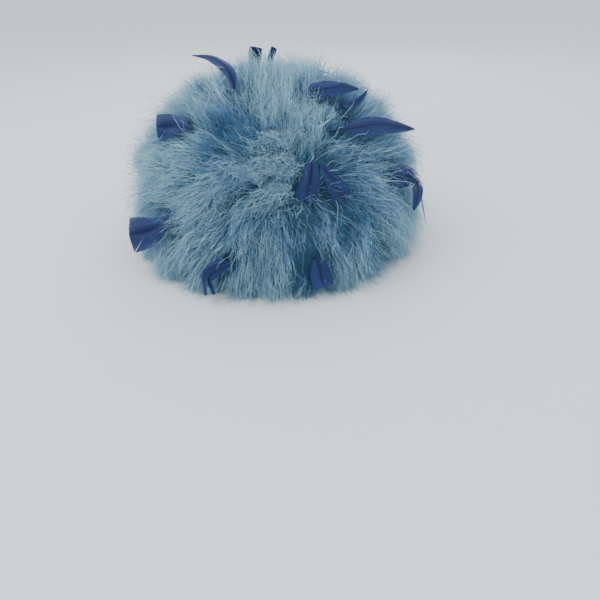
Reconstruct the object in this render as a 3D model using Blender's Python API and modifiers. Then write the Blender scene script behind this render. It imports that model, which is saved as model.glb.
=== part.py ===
"""Marabou toque: a round-crowned, brimless dress hat covered in blue marabou down and dark blue accent feathers.

Run with: blender --background --python part.py
Metres, +Z up. The origin is the centre of the head opening on the surface that the hat stands on, and the
front of the hat faces -Y. Every turned piece is an oval: it is turned with its front-to-back radius, and its
object is then narrowed in X by OVAL. An "offset" is the distance outwards from the outer face of the side band.
"""

import math

import bmesh
import bpy
from mathutils import Matrix, Vector

# Driving dimensions: the head that the hat fits and the crown that stands over it
HEAD_LENGTH = 0.196
HEAD_WIDTH = 0.164
CROWN_HEIGHT = 0.104
CROWN_SQUARENESS = 2.5  # 2 is a plain dome, and more gives a fuller shoulder
TIP_SEAM_HEIGHT = 0.072
TIP_LAP = 0.006
TIP_WIRE_LIFT = 0.0024

# Stock that the pieces are cut from
BUCKRAM = 0.0013
COVER_CLOTH = 0.0007
BINDING_TAPE = 0.0006
LINING_CLOTH = 0.0005
SWEAT_RIBBON = 0.0008
SWEAT_RIBBON_WIDTH = 0.025
SWEAT_RIBBON_LIFT = 0.0015
WIRE_RADIUS = 0.0007
TIP_WIRE_RADIUS = 0.0006
CORD_RADIUS = 0.0012
FEATHER_THICKNESS = 0.0007
QUILL_WIDTH = 0.0014
CLEARANCE = 0.0004

# The bound edge
BINDING_HEIGHT = 0.009
EDGE_LIFT = BINDING_TAPE + CLEARANCE
COVER_LIFT = EDGE_LIFT + 2 * WIRE_RADIUS + 2 * CLEARANCE
LINING_LIFT = 0.002

# The down: its outer surface, and how it is divided into sewn rows
DOWN_DEPTH_AT_SIDES = 0.0397  # how far it stands out of the side band, at each side and at the front and back
DOWN_DEPTH_AT_ENDS = 0.0269
DOWN_DEPTH_ON_TOP = 0.042
DOWN_LIFT = 0.003
DOWN_WIDEST_AT = 0.030
DOWN_FOOT_SHARE = 0.93  # width at the foot, as a share of the greatest width
DOWN_SQUARENESS = 2.15
DOWN_ROWS = 7  # six rings and the rosette on top
ROW_PART = 0.0026  # the parting between two rows, where the quills pass
ROW_INSET = 0.0025  # how far a row's edges stand in from the outer surface
ROW_EDGE = 0.22  # share of a row's height that its rounded edge takes

# Bow on the sweatband's seam
BOW_LOOP = (0.013, 0.0016, 0.009)
BOW_KNOT = (0.0045, 0.0026, 0.0065)
BOW_ROUNDING = 0.0005
SEAM_GAP = 0.0010

SEGMENTS = 32
HOOP_SIDES = 5

OVAL = HEAD_WIDTH / HEAD_LENGTH

# Offsets, each worked out from the layer beside it
TIP_OFFSET = -(BUCKRAM + CLEARANCE)
LINING_OFFSET = TIP_OFFSET - BUCKRAM - CLEARANCE
RIBBON_OFFSET = LINING_OFFSET - LINING_CLOTH - CLEARANCE
HEAD_OFFSET = RIBBON_OFFSET - SWEAT_RIBBON
CROWN_RADIUS = HEAD_LENGTH / 2 - HEAD_OFFSET
BINDING_INNER_OFFSET = -(BUCKRAM + CLEARANCE)
WIRE_OFFSET = CLEARANCE + WIRE_RADIUS
BINDING_OUTER_OFFSET = WIRE_OFFSET + WIRE_RADIUS + CLEARANCE
COVER_OFFSET = CLEARANCE + COVER_CLOTH
CORD_OFFSET = COVER_OFFSET + CLEARANCE + CORD_RADIUS
DOWN_OFFSET = CORD_OFFSET + CORD_RADIUS + CLEARANCE

DOWN_LENGTH = 2 * (CROWN_RADIUS + DOWN_DEPTH_AT_ENDS)
DOWN_WIDTH = 2 * (CROWN_RADIUS * OVAL + DOWN_DEPTH_AT_SIDES)
DOWN_HEIGHT = CROWN_HEIGHT + DOWN_DEPTH_ON_TOP

# Accent feathers. Azimuth is in degrees round the hat from the front, towards the wearer's left (+X). Each feather
# comes out of a parting, counted up from the lowest, at an azimuth. Its midrib then passes through points, each an
# azimuth, a share of the way from the down's foot to its top, and how far it stands out of the down.
#             width, tip's share of it, (parting, azimuth), midrib
FEATHERS = {
    "accent_feather_01a": (0.0060, 0.55, (1, -19), [(-22, 0.130, 0.0060), (-25, 0.090, 0.0095), (-24, 0.050, 0.0200)]),
    "accent_feather_01b": (0.0065, 0.50, (1, -14), [(-18, 0.110, 0.0050), (-20, 0.080, 0.0090), (-19, 0.050, 0.0160)]),
    "accent_feather_02a": (0.0220, 0.95, (2, -42), [(-46, 0.240, 0.0040), (-50, 0.200, 0.0090), (-55, 0.155, 0.0200)]),
    "accent_feather_03a": (0.0190, 0.95, (4, -47), [(-55, 0.550, 0.0060), (-60, 0.515, 0.0120)]),
    "accent_feather_04a": (0.0090, 0.15, (5, -30), [
        (-34, 0.765, 0.0075), (-46, 0.795, 0.0150), (-76, 0.795, 0.0200), (-97, 0.735, 0.0250),
    ]),
    "accent_feather_04b": (0.0120, 0.30, (5, -40), [(-56, 0.730, 0.0030), (-90, 0.710, 0.0070)]),
    "accent_feather_05a": (0.0090, 0.80, (6, -147), [(-148, 0.870, 0.0090), (-149, 0.890, 0.0180)]),
    "accent_feather_05b": (0.0060, 0.75, (6, -173), [(-178, 0.880, 0.0090), (-186, 0.900, 0.0170)]),
    "accent_feather_06a": (0.0130, 0.10, (5, 21), [(38, 0.725, 0.0055), (50, 0.690, 0.0095), (60, 0.655, 0.0115)]),
    "accent_feather_06b": (0.0070, 0.10, (4, 46), [(50, 0.620, 0.0055), (56, 0.625, 0.0105), (61, 0.630, 0.0150)]),
    "accent_feather_07a": (0.0135, 0.06, (4, 30), [
        (41, 0.545, 0.0055), (50, 0.525, 0.0105), (57, 0.490, 0.0145), (70, 0.440, 0.0195),
    ]),
    "accent_feather_08a": (0.0110, 0.12, (2, 50), [
        (57, 0.310, 0.0040), (62, 0.300, 0.0095), (58, 0.260, 0.0140), (52, 0.230, 0.0150),
    ]),
    "accent_feather_08b": (0.0050, 0.08, (2, 77), [(70, 0.260, 0.0060), (64, 0.205, 0.0130), (66, 0.125, 0.0160)]),
    "accent_feather_09a": (0.0120, 0.75, (3, 13), [(13, 0.400, 0.0050), (11, 0.360, 0.0060)]),
    "accent_feather_09b": (0.0130, 0.70, (3, 20), [(22, 0.380, 0.0055), (26, 0.325, 0.0060)]),
    "accent_feather_10a": (0.0150, 0.95, (1, 13), [(14, 0.095, 0.0055), (15, 0.055, 0.0115)]),
    "accent_feather_11a": (0.0180, 0.90, (2, 128), [(132, 0.245, 0.0040), (138, 0.200, 0.0110), (146, 0.150, 0.0180)]),
    "accent_feather_12a": (0.0130, 0.06, (4, 140), [
        (152, 0.545, 0.0060), (163, 0.530, 0.0110), (174, 0.495, 0.0150), (184, 0.450, 0.0180),
    ]),
    "accent_feather_13a": (0.0060, 0.55, (1, 168), [(164, 0.130, 0.0060), (161, 0.090, 0.0090), (162, 0.055, 0.0145)]),
    "accent_feather_13b": (0.0065, 0.50, (1, 173), [(169, 0.110, 0.0050), (167, 0.080, 0.0080), (168, 0.050, 0.0125)]),
    "accent_feather_14a": (0.0120, 0.75, (3, -166), [(-167, 0.400, 0.0050), (-168, 0.360, 0.0060)]),
    "accent_feather_14b": (0.0130, 0.70, (3, -160), [(-157, 0.380, 0.0060), (-153, 0.325, 0.0070)]),
    "accent_feather_15a": (0.0110, 0.12, (2, -122), [
        (-128, 0.310, 0.0040), (-134, 0.300, 0.0100), (-130, 0.260, 0.0130), (-124, 0.230, 0.0140),
    ]),
    "accent_feather_15b": (0.0050, 0.08, (2, -96), [
        (-101, 0.260, 0.0050), (-107, 0.205, 0.0095), (-105, 0.125, 0.0120),
    ]),
    "accent_feather_16a": (0.0120, 0.10, (5, -118), [
        (-135, 0.725, 0.0060), (-147, 0.690, 0.0095), (-158, 0.655, 0.0115),
    ]),
    "accent_feather_17a": (0.0080, 0.15, (5, 150), [(144, 0.765, 0.0070), (132, 0.790, 0.0140), (112, 0.770, 0.0190)]),
}
BLADE_STEPS = 7
BLADE_FOOT = 0.0012  # the blade's first point stands this far out of the parting
BLADE_FULL_AT = 0.35  # share of its length at which a blade reaches its full width
BLADE_TAPERS_AT = 0.45
QUILL_FOOT = 0.0006  # the quill's lower end stands this far off the cover
BLADE_CAMBER = 0.10  # the midrib's rise, as a share of the half width


def finish(name, colour, roughness, metallic=0.0):
    """A plain material for one kind of stock."""
    material = bpy.data.materials.new(name)
    material.use_nodes = True
    shader = material.node_tree.nodes["Principled BSDF"]
    shader.inputs["Base Color"].default_value = (*colour, 1.0)
    shader.inputs["Roughness"].default_value = roughness
    shader.inputs["Metallic"].default_value = metallic
    material.diffuse_color = (*colour, 1.0)
    return material


def place(name, mesh, collection, material):
    """Links a mesh to the scene as one named piece."""
    mesh.materials.append(material)
    piece = bpy.data.objects.new(name, mesh)
    collection.objects.link(piece)
    return piece


def mesh_of(name, points, faces):
    """A closed or open mesh of hand-built faces, all facing the same way and shaded smooth."""
    mesh = bpy.data.meshes.new(name)
    mesh.from_pydata(points, [], faces)
    solid = bmesh.new()
    solid.from_mesh(mesh)
    bmesh.ops.recalc_face_normals(solid, faces=solid.faces)
    for face in solid.faces:
        face.smooth = True
    solid.to_mesh(mesh)
    solid.free()
    return mesh


def turned(name, profile, collection, material, ring=True):
    """A piece turned about Z from (radius, height) points that run down its outer side, narrowed to the oval.
    A ring's profile closes on itself, and any other starts and ends on the axis."""
    mesh = bpy.data.meshes.new(name)
    last = len(profile) - 1
    edges = [(i, i + 1) for i in range(last)] + ([(last, 0)] if ring else [])
    mesh.from_pydata([(radius, 0.0, height) for radius, height in profile], edges, [])
    piece = place(name, mesh, collection, material)
    turn = piece.modifiers.new("turn", "SCREW")
    turn.steps = SEGMENTS
    turn.render_steps = SEGMENTS
    turn.use_merge_vertices = True
    turn.merge_threshold = 0.00001
    piece.scale = (OVAL, 1.0, 1.0)
    return piece


def section_shares():
    """The crown's section as (share of the radius, share of the height) from its foot to its top. Every layer bends at
    the same shares, so that the layers stay parallel."""
    binding = BINDING_HEIGHT / CROWN_HEIGHT
    heights = [0.0, binding, 0.25, 0.42, 0.57, 0.70, 0.81, 0.90, 0.965, 1.0]
    exponent = CROWN_SQUARENESS
    return [(max(0.0, 1.0 - share**exponent) ** (1.0 / exponent), share) for share in heights]


def crown_point(offset, height_share):
    """A point of the crown's section at this share of its height, offset from the side band's outer face."""
    shares = section_shares()
    k = next(k for k in range(1, len(shares)) if shares[k][1] >= height_share - 1e-9)
    (low_radius, low), (high_radius, high) = shares[k - 1], shares[k]
    radius = low_radius + (high_radius - low_radius) * (height_share - low) / (high - low)
    return (CROWN_RADIUS + offset) * radius, (CROWN_HEIGHT + offset) * height_share


def crown_section(offset, low, high):
    """Points up the crown's section between two heights."""
    low_share, high_share = low / CROWN_HEIGHT, high / CROWN_HEIGHT
    between = [share for _, share in section_shares() if low_share + 1e-9 < share < high_share - 1e-9]
    return [crown_point(offset, share) for share in [low_share, *between, high_share]]


def crown_shell(name, outer, thickness, low, high, collection, material):
    """A layer of the crown between two heights. It is a ring, or a cap where it reaches the top."""
    outside = crown_section(outer, low, high)
    inside = crown_section(outer - thickness, low, high)
    closed_top = high >= CROWN_HEIGHT
    return turned(name, outside[::-1] + inside, collection, material, ring=not closed_top)


def hoop(name, offset, height, radius, collection, material):
    """A wire or cord round the crown, whose centre stands off the crown's section at a height."""
    share = height / CROWN_HEIGHT
    centre = Vector(crown_point(offset, share))
    angles = [-math.tau * i / HOOP_SIDES for i in range(HOOP_SIDES)]
    profile = [centre + radius * Vector((math.cos(a), math.sin(a))) for a in angles]
    return turned(name, [tuple(point) for point in profile], collection, material)


def crown_pieces(collection, buckram, cloth, steel):
    """The stiffened crown in two pieces, its two wires and the cloth that covers it."""
    crown_shell("crown_side_band", 0.0, BUCKRAM, EDGE_LIFT, TIP_SEAM_HEIGHT, collection, buckram)
    tip_foot = TIP_SEAM_HEIGHT - TIP_LAP
    crown_shell("crown_tip", TIP_OFFSET, BUCKRAM, tip_foot, CROWN_HEIGHT, collection, buckram)
    crown_shell("crown_cover", COVER_OFFSET, COVER_CLOTH, COVER_LIFT, CROWN_HEIGHT, collection, cloth)
    wire_height = EDGE_LIFT + WIRE_RADIUS
    hoop("edge_wire", WIRE_OFFSET, wire_height, WIRE_RADIUS, collection, steel)
    tip_wire_offset = TIP_OFFSET + CLEARANCE + TIP_WIRE_RADIUS
    tip_wire_height = TIP_SEAM_HEIGHT + TIP_WIRE_LIFT
    hoop("tip_wire", tip_wire_offset, tip_wire_height, TIP_WIRE_RADIUS, collection, steel)


def edge_binding(collection, tape):
    """A tape folded round the foot of the side band and its wire. Its flat underside is what the hat stands on."""
    outer = CROWN_RADIUS + BINDING_OUTER_OFFSET
    inner = CROWN_RADIUS + BINDING_INNER_OFFSET
    profile = [
        (outer, BINDING_HEIGHT),
        (outer + BINDING_TAPE, BINDING_HEIGHT),
        (outer + BINDING_TAPE, 0.0),
        (inner - BINDING_TAPE, 0.0),
        (inner - BINDING_TAPE, BINDING_HEIGHT),
        (inner, BINDING_HEIGHT),
        (inner, BINDING_TAPE),
        (outer, BINDING_TAPE),
    ]
    turned("edge_binding", profile, collection, tape)


def lining_pieces(collection, silk):
    """The lining: a side piece and a tip piece, which meet at a seam."""
    seam = TIP_SEAM_HEIGHT + TIP_LAP
    crown_shell("lining_side", LINING_OFFSET, LINING_CLOTH, LINING_LIFT, seam, collection, silk)
    tip_foot = seam + 2 * CLEARANCE
    crown_shell("lining_tip", LINING_OFFSET, LINING_CLOTH, tip_foot, CROWN_HEIGHT, collection, silk)


def sweatband(collection, ribbon):
    """The ribbon that meets the head, open at its seam at the back."""
    low = SWEAT_RIBBON_LIFT
    high = low + SWEAT_RIBBON_WIDTH
    band = crown_shell("sweatband", RIBBON_OFFSET, SWEAT_RIBBON, low, high, collection, ribbon)
    bpy.ops.mesh.primitive_cube_add(size=1.0, location=(0.0, HEAD_LENGTH / 2, low + SWEAT_RIBBON_WIDTH / 2))
    cutter = bpy.context.active_object
    cutter.name = "sweatband_seam_cutter"
    cutter.scale = (SEAM_GAP, HEAD_LENGTH / 8, 2 * SWEAT_RIBBON_WIDTH)
    cutter.hide_render = True
    cutter.display_type = "WIRE"
    seam = band.modifiers.new("seam", "BOOLEAN")
    seam.operation = "DIFFERENCE"
    seam.solver = "EXACT"
    seam.object = cutter
    return cutter


def rounded_block(name, centre, size, collection, material):
    """A small block with rounded edges, standing for a folded piece of ribbon."""
    mesh = bpy.data.meshes.new(name)
    block = bmesh.new()
    bmesh.ops.create_cube(block, size=1.0, matrix=Matrix.Diagonal((*size, 1.0)))
    block.to_mesh(mesh)
    block.free()
    piece = place(name, mesh, collection, material)
    piece.location = centre
    rounding = piece.modifiers.new("rounding", "BEVEL")
    rounding.width = BOW_ROUNDING
    rounding.segments = 1
    return piece


def sweatband_bow(collection, ribbon):
    """A flat bow sewn over the sweatband's seam, inside the back of the hat."""
    middle = SWEAT_RIBBON_LIFT + SWEAT_RIBBON_WIDTH / 2
    reach = BOW_KNOT[0] / 2 + CLEARANCE + BOW_LOOP[0]
    # The head opening curves away from the bow, so its outer corners set how near the band it may lie.
    bend = HEAD_LENGTH / 2 * (1.0 - math.sqrt(1.0 - (reach / (HEAD_WIDTH / 2)) ** 2))
    seat = HEAD_LENGTH / 2 * math.cos(math.pi / SEGMENTS) - bend - 2 * CLEARANCE
    knot_y = seat - BOW_KNOT[1] / 2
    rounded_block("bow_knot", (0.0, knot_y, middle), BOW_KNOT, collection, ribbon)
    for side, sign in (("left", 1), ("right", -1)):
        x = sign * (BOW_KNOT[0] / 2 + CLEARANCE + BOW_LOOP[0] / 2)
        rounded_block(f"bow_loop_{side}", (x, seat - BOW_LOOP[1] / 2, middle), BOW_LOOP, collection, ribbon)


def evened(points, count):
    """The same line as count + 1 points the same distance apart."""
    ends = [Vector(p) for p in points]
    lengths = [0.0]
    for a, b in zip(ends, ends[1:]):
        lengths.append(lengths[-1] + (b - a).length)
    found = []
    for i in range(count + 1):
        want = lengths[-1] * i / count
        k = next((k for k in range(1, len(ends)) if lengths[k] >= want - 1e-12), len(ends) - 1)
        share = (want - lengths[k - 1]) / (lengths[k] - lengths[k - 1])
        found.append(ends[k - 1].lerp(ends[k], share))
    return found


def down_section():
    """The down's outer surface as (share of the greatest radius, height), from its foot to its top."""
    foot = [i / 8 for i in range(8)]
    points = []
    for share in foot:
        height = DOWN_LIFT + share * (DOWN_WIDEST_AT - DOWN_LIFT)
        swell = math.sqrt(1.0 - (1.0 - share) ** 2)
        points.append((DOWN_FOOT_SHARE + (1.0 - DOWN_FOOT_SHARE) * swell, height))
    for i in range(61):
        turn = math.pi / 2 * i / 60
        width = math.cos(turn) ** (2 / DOWN_SQUARENESS)
        rise = math.sin(turn) ** (2 / DOWN_SQUARENESS)
        points.append((max(0.0, width), DOWN_WIDEST_AT + rise * (DOWN_HEIGHT - DOWN_WIDEST_AT)))
    return points


FINE = 20  # points in each row's height, for finding where its edges lie
INNER_LINE = evened(crown_section(DOWN_OFFSET, DOWN_LIFT, CROWN_HEIGHT), DOWN_ROWS * FINE)
# The outer line is evened at its true size and then turned back to shares of the radius.
OUTER_LINE = [
    Vector((p[0] / (DOWN_LENGTH / 2), p[1]))
    for p in evened([(k * DOWN_LENGTH / 2, z) for k, z in down_section()], DOWN_ROWS * FINE)
]


def along(line, place_on_it):
    """The point of an evened line at a place from 0 to its last index."""
    k = min(int(place_on_it), len(line) - 2)
    return line[k].lerp(line[k + 1], place_on_it - k)


def in_hat(inner, outer, share, angle):
    """A point between the crown's line and the down's outer line, at an angle round the hat from +X."""
    x_inner = inner[0] * OVAL * math.cos(angle)
    y_inner = inner[0] * math.sin(angle)
    x_outer = outer[0] * DOWN_WIDTH / 2 * math.cos(angle)
    y_outer = outer[0] * DOWN_LENGTH / 2 * math.sin(angle)
    x = x_inner + share * (x_outer - x_inner)
    y = y_inner + share * (y_outer - y_inner)
    return Vector((x, y, inner[1] + share * (outer[1] - inner[1])))


def parting_line(parting, angle, share):
    """A point in the middle of a parting, from the down's inner face at 0 to its outer edge at 1."""
    place_on_it = parting * FINE
    inner, outer = along(INNER_LINE, place_on_it), along(OUTER_LINE, place_on_it)
    return in_hat(inner, outer, share, angle)


def down_row(index, collection, marabou):
    """One row of down: a ring between two partings, or the rosette that closes the top."""
    inner_step = (INNER_LINE[1] - INNER_LINE[0]).length
    outer_step = (OUTER_LINE[FINE] - OUTER_LINE[FINE - 1])[1]
    outer_step = max(abs(outer_step), inner_step)
    top = index == DOWN_ROWS - 1
    low = index * FINE
    high = low + FINE
    inner_gap = ROW_PART / 2 / inner_step
    outer_gap = ROW_PART / 2 / outer_step
    inner_low = low + (inner_gap if index else 0.0)
    outer_low = low + (outer_gap if index else 0.0)
    inner_high = high - (0.0 if top else inner_gap)
    outer_high = high - (0.0 if top else outer_gap)
    depth = 1.0 - ROW_INSET / (DOWN_LENGTH / 2 - CROWN_RADIUS)
    # (place on the inner line, place on the outer line, share of the way out)
    section = [
        (inner_low, outer_low, 0.0),
        (inner_low, outer_low, depth),
        (inner_low, outer_low + FINE * ROW_EDGE, 1.0),
    ]
    if top:
        section += [(inner_high, outer_low + FINE * 0.6, 1.0), (inner_high, outer_high, 1.0)]
        section += [(inner_high, outer_high, 0.0), ((inner_low + inner_high) / 2, outer_low, 0.0)]
    else:
        section += [
            (inner_high, outer_high - FINE * ROW_EDGE, 1.0),
            (inner_high, outer_high, depth),
            (inner_high, outer_high, 0.0),
            ((inner_low + inner_high) / 2, outer_low, 0.0),
        ]
    on_axis = {i for i, corner in enumerate(section) if top and corner[:2] == (inner_high, outer_high)}
    points, rings = [], []
    for i, (inner_place, outer_place, share) in enumerate(section):
        inner, outer = along(INNER_LINE, inner_place), along(OUTER_LINE, outer_place)
        count = 1 if i in on_axis else SEGMENTS
        rings.append(range(len(points), len(points) + count))
        points += [in_hat(inner, outer, share, math.tau * k / SEGMENTS) for k in range(count)]
    faces = []
    for this, following in zip(rings, rings[1:] + rings[:1]):
        if len(this) == 1 and len(following) == 1:
            continue
        for k in range(SEGMENTS):
            after = (k + 1) % SEGMENTS
            if len(this) == 1:
                faces.append((this[0], following[after], following[k]))
            elif len(following) == 1:
                faces.append((this[k], this[after], following[0]))
            else:
                faces.append((this[k], this[after], following[after], following[k]))
    name = "marabou_top" if top else f"marabou_row_{index + 1}"
    return place(name, mesh_of(name, points, faces), collection, marabou)


def down_cord(index, collection, thread):
    """The cord that a row of down is strung on, sewn round the crown under the middle of its row."""
    middle = along(INNER_LINE, (index + 0.5) * FINE)
    name = "cord_top" if index == DOWN_ROWS - 1 else f"cord_row_{index + 1}"
    share = middle[1] / (CROWN_HEIGHT + DOWN_OFFSET)
    return hoop(name, CORD_OFFSET, share * CROWN_HEIGHT, CORD_RADIUS, collection, thread)


def on_down(azimuth, way, stand_off):
    """A point that stands out of the down's outer surface, and the unit vector out of the surface there."""
    angle = math.radians(azimuth - 90.0)

    def surface(turn, share):
        outer = along(OUTER_LINE, min(1.0, max(0.0, share)) * DOWN_ROWS * FINE)
        return in_hat(outer, outer, 1.0, turn)

    step = 0.004
    upwards = surface(angle, way + step) - surface(angle, way - step)
    around = surface(angle + step, way) - surface(angle - step, way)
    out = around.cross(upwards).normalized()
    return surface(angle, way) + out * stand_off, out


def smoothed(points, count):
    """A smooth curve through the points, as count + 1 points the same distance apart."""
    ends = [2 * points[0] - points[1], *points, 2 * points[-1] - points[-2]]
    fine = []
    for a, b, c, d in zip(ends, ends[1:], ends[2:], ends[3:]):
        for k in range(12):
            t = k / 12
            bend = (2 * a - 5 * b + 4 * c - d) * t * t + (3 * b - a - 3 * c + d) * t**3
            fine.append(0.5 * (2 * b + (c - a) * t + bend))
    return evened([*fine, points[-1]], count)


def accent_feather(name, shape, collection, vane):
    """One accent feather in one piece: a flat quill in a parting of the down, which widens to a curled blade."""
    width, tip, (parting, azimuth), midrib = shape
    angle = math.radians(azimuth - 90.0)
    inner, outer = parting_line(parting, angle, 0.0), parting_line(parting, angle, 1.0)
    out = (outer - inner).normalized()
    around = Vector((-math.sin(angle), math.cos(angle), 0.0))
    stand_off = DOWN_OFFSET - COVER_OFFSET - QUILL_FOOT
    quill = [inner - out * stand_off, outer - out * ROW_INSET]
    seats = [on_down(azimuth, parting / DOWN_ROWS, BLADE_FOOT), *(on_down(*place) for place in midrib)]
    blade = smoothed([point for point, _ in seats], BLADE_STEPS)
    centres = quill + blade
    points = []
    for i, centre in enumerate(centres):
        step = max(0, i - len(quill)) / BLADE_STEPS
        along_it = (centres[min(i + 1, len(centres) - 1)] - centres[max(i - 1, 0)]).normalized()
        # The seats stand for even steps along the midrib, near enough to take the surface's direction from.
        seat = step * (len(seats) - 1)
        low = min(int(seat), len(seats) - 2)
        surface_out = seats[low][1].lerp(seats[low + 1][1], seat - low)
        side = along_it.cross(surface_out).normalized()
        if side.dot(around) < 0:
            side = -side
        side = around.lerp(side, min(1.0, step * 3)).normalized()
        swell = math.sin(math.pi / 2 * min(1.0, step / BLADE_FULL_AT))
        taper = 1.0 - (1.0 - tip) * max(0.0, (step - BLADE_TAPERS_AT) / (1.0 - BLADE_TAPERS_AT)) ** 1.6
        half = max(QUILL_WIDTH, width * swell * taper) / 2
        face = side.cross(along_it).normalized()
        if face.dot(surface_out) < 0:
            face = -face
        rise = face * half * BLADE_CAMBER if step > 0 else Vector()
        points += [centre - side * half, centre + rise, centre + side * half]
    faces = []
    for i in range(len(centres) - 1):
        a, b = 3 * i, 3 * i + 3
        faces += [(a, a + 1, b + 1, b), (a + 1, a + 2, b + 2, b + 1)]
    piece = place(name, mesh_of(name, points, faces), collection, vane)
    body = piece.modifiers.new("thickness", "SOLIDIFY")
    body.thickness = FEATHER_THICKNESS
    body.offset = 0.0
    return piece


def main():
    for old in list(bpy.data.objects):
        bpy.data.objects.remove(old, do_unlink=True)
    hat = bpy.data.collections.new("marabou_toque")
    cutters = bpy.data.collections.new("cutters")
    bpy.context.scene.collection.children.link(hat)
    bpy.context.scene.collection.children.link(cutters)

    buckram = finish("buckram", (0.62, 0.64, 0.62), 0.9)
    cover_cloth = finish("cover_cloth", (0.13, 0.30, 0.42), 0.85)
    wire = finish("wire", (0.35, 0.36, 0.38), 0.4, 1.0)
    tape = finish("binding_tape", (0.05, 0.10, 0.26), 0.6)
    silk = finish("lining_silk", (0.16, 0.27, 0.42), 0.45)
    ribbon = finish("sweat_ribbon", (0.04, 0.08, 0.22), 0.5)
    thread = finish("down_cord", (0.30, 0.48, 0.60), 0.8)
    marabou = finish("marabou_down", (0.25, 0.47, 0.62), 0.9)
    vane = finish("accent_vane", (0.02, 0.06, 0.26), 0.4)

    crown_pieces(hat, buckram, cover_cloth, wire)
    edge_binding(hat, tape)
    lining_pieces(hat, silk)
    cutter = sweatband(hat, ribbon)
    sweatband_bow(hat, ribbon)
    for index in range(DOWN_ROWS):
        down_cord(index, hat, thread)
        down_row(index, hat, marabou)
    for name, shape in FEATHERS.items():
        accent_feather(name, shape, hat, vane)

    for collection in list(cutter.users_collection):
        collection.objects.unlink(cutter)
    cutters.objects.link(cutter)


main()
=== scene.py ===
"""Dresses a packed marabou toque: its down, accent feathers, lining and trims, and the stage it stands on.

Metres, +Z up, the front of the hat towards -Y. Azimuth is counted round the hat from the front towards +X.
"""

import contextlib
import math

import bmesh
import bpy
import numpy as np
from bpy.props import FloatProperty, FloatVectorProperty, IntProperty, PointerProperty
from mathutils import Matrix, Vector
from mathutils.kdtree import KDTree


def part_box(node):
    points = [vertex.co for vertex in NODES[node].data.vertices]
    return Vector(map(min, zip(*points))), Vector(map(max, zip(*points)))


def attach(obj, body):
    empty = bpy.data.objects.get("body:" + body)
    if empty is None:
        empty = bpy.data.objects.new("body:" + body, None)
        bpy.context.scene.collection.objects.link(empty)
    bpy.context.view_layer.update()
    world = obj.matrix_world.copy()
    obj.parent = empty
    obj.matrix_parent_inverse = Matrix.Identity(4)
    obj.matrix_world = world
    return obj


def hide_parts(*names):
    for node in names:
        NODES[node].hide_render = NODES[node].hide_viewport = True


bl_info = {
    "name": "Marabou toque",
    "version": (1, 0, 0),
    "blender": (4, 5, 0),
    "location": "3D View > Sidebar > Toque",
    "description": "Dresses a packed toque in marabou down, accent feathers, lining and trims",
    "category": "Object",
}

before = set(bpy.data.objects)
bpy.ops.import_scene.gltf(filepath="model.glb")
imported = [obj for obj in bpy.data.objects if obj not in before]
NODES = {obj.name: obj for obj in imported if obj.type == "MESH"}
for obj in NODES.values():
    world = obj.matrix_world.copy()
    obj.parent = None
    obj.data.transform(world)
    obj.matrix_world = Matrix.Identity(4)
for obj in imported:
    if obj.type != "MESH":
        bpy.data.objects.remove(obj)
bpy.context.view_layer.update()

ROWS = 7  # six sewn rows and the rosette on top, as the crown's cords are
SEED = 20  # of the plumes and the down; the other draws count on from it
SHAFTS_SEED = SEED + 60
ACCENTS_SEED = SEED + 100


# ---------------------------------------------------------------- settings


def size(name, description, default):
    return FloatProperty(name=name, description=description, default=default, unit="LENGTH")


def number(name, description, default, least):
    return IntProperty(name=name, description=description, default=default, min=least)


def colour(name, description, default):
    return FloatVectorProperty(name=name, description=description, default=default, subtype="COLOR")


class ToqueDown(bpy.types.PropertyGroup):
    width: size("Width", "Width of the down over its tips", 0.262)
    length: size("Length", "Front-to-back length over its tips", 0.268)
    height: size("Height", "Height over its tips", 0.152)
    barbs: number("Barbs", "Number of down barbs on the whole hat", 78000, 1000)
    barb_length: size("Barb length", "Usual length of a barb", 0.038)
    barb_radius: size("Barb radius", "Radius of a barb near its root", 0.00014)
    parting_depth: size("Parting depth", "Depth of the partings between plumes", 0.023)
    lock_size: number("Lock size", "Barbs that cling together in one lock", 8, 1)
    # The colour at the roots is painted shade of the down's depths.
    deep: colour("Deep", "Colour at the roots", (0.042, 0.170, 0.295))
    middle: colour("Middle", "Colour half way out", (0.165, 0.405, 0.690))
    pale: colour("Pale", "Colour at the tips", (0.53, 0.76, 0.98))


class ToqueAccents(bpy.types.PropertyGroup):
    barb_step: size("Barb step", "Distance between barbs along a shaft", 0.0005)
    barb_slant: FloatProperty(
        name="Barb slant", description="Angle of the barbs to the shaft", default=0.52, subtype="ANGLE"
    )
    shafts: number("Plume shafts", "Number of bare plume shafts in the down", 90, 0)
    dark: colour("Dark", "Deep blue of the vanes", (0.005, 0.018, 0.095))
    bright: colour("Bright", "Bright blue of the vanes", (0.028, 0.100, 0.360))


class ToqueTrims(bpy.types.PropertyGroup):
    lining: colour("Lining", "Colour of the lining", (0.16, 0.27, 0.42))
    ribbon: colour("Ribbon", "Colour of the sweatband", (0.018, 0.045, 0.16))
    pleats: number("Pleats", "Gathers round the lining's tip", 72, 8)
    stitches: number("Stitches", "Running stitches round the sweatband", 150, 10)


class ToqueStage(bpy.types.PropertyGroup):
    lens: FloatProperty(name="Lens", description="Focal length", default=31.2, unit="CAMERA")
    paper: colour("Paper", "Colour of the floor", (0.76, 0.775, 0.785))
    sky: colour("Sky", "Colour of the soft light all round", (0.86, 0.92, 1.0))
    sky_strength: FloatProperty(name="Sky strength", description="Strength of the soft light", default=1.4)


SETTINGS = {
    "toque_down": ToqueDown,
    "toque_accents": ToqueAccents,
    "toque_trims": ToqueTrims,
    "toque_stage": ToqueStage,
}


# ---------------------------------------------------------------- shader maths


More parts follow.
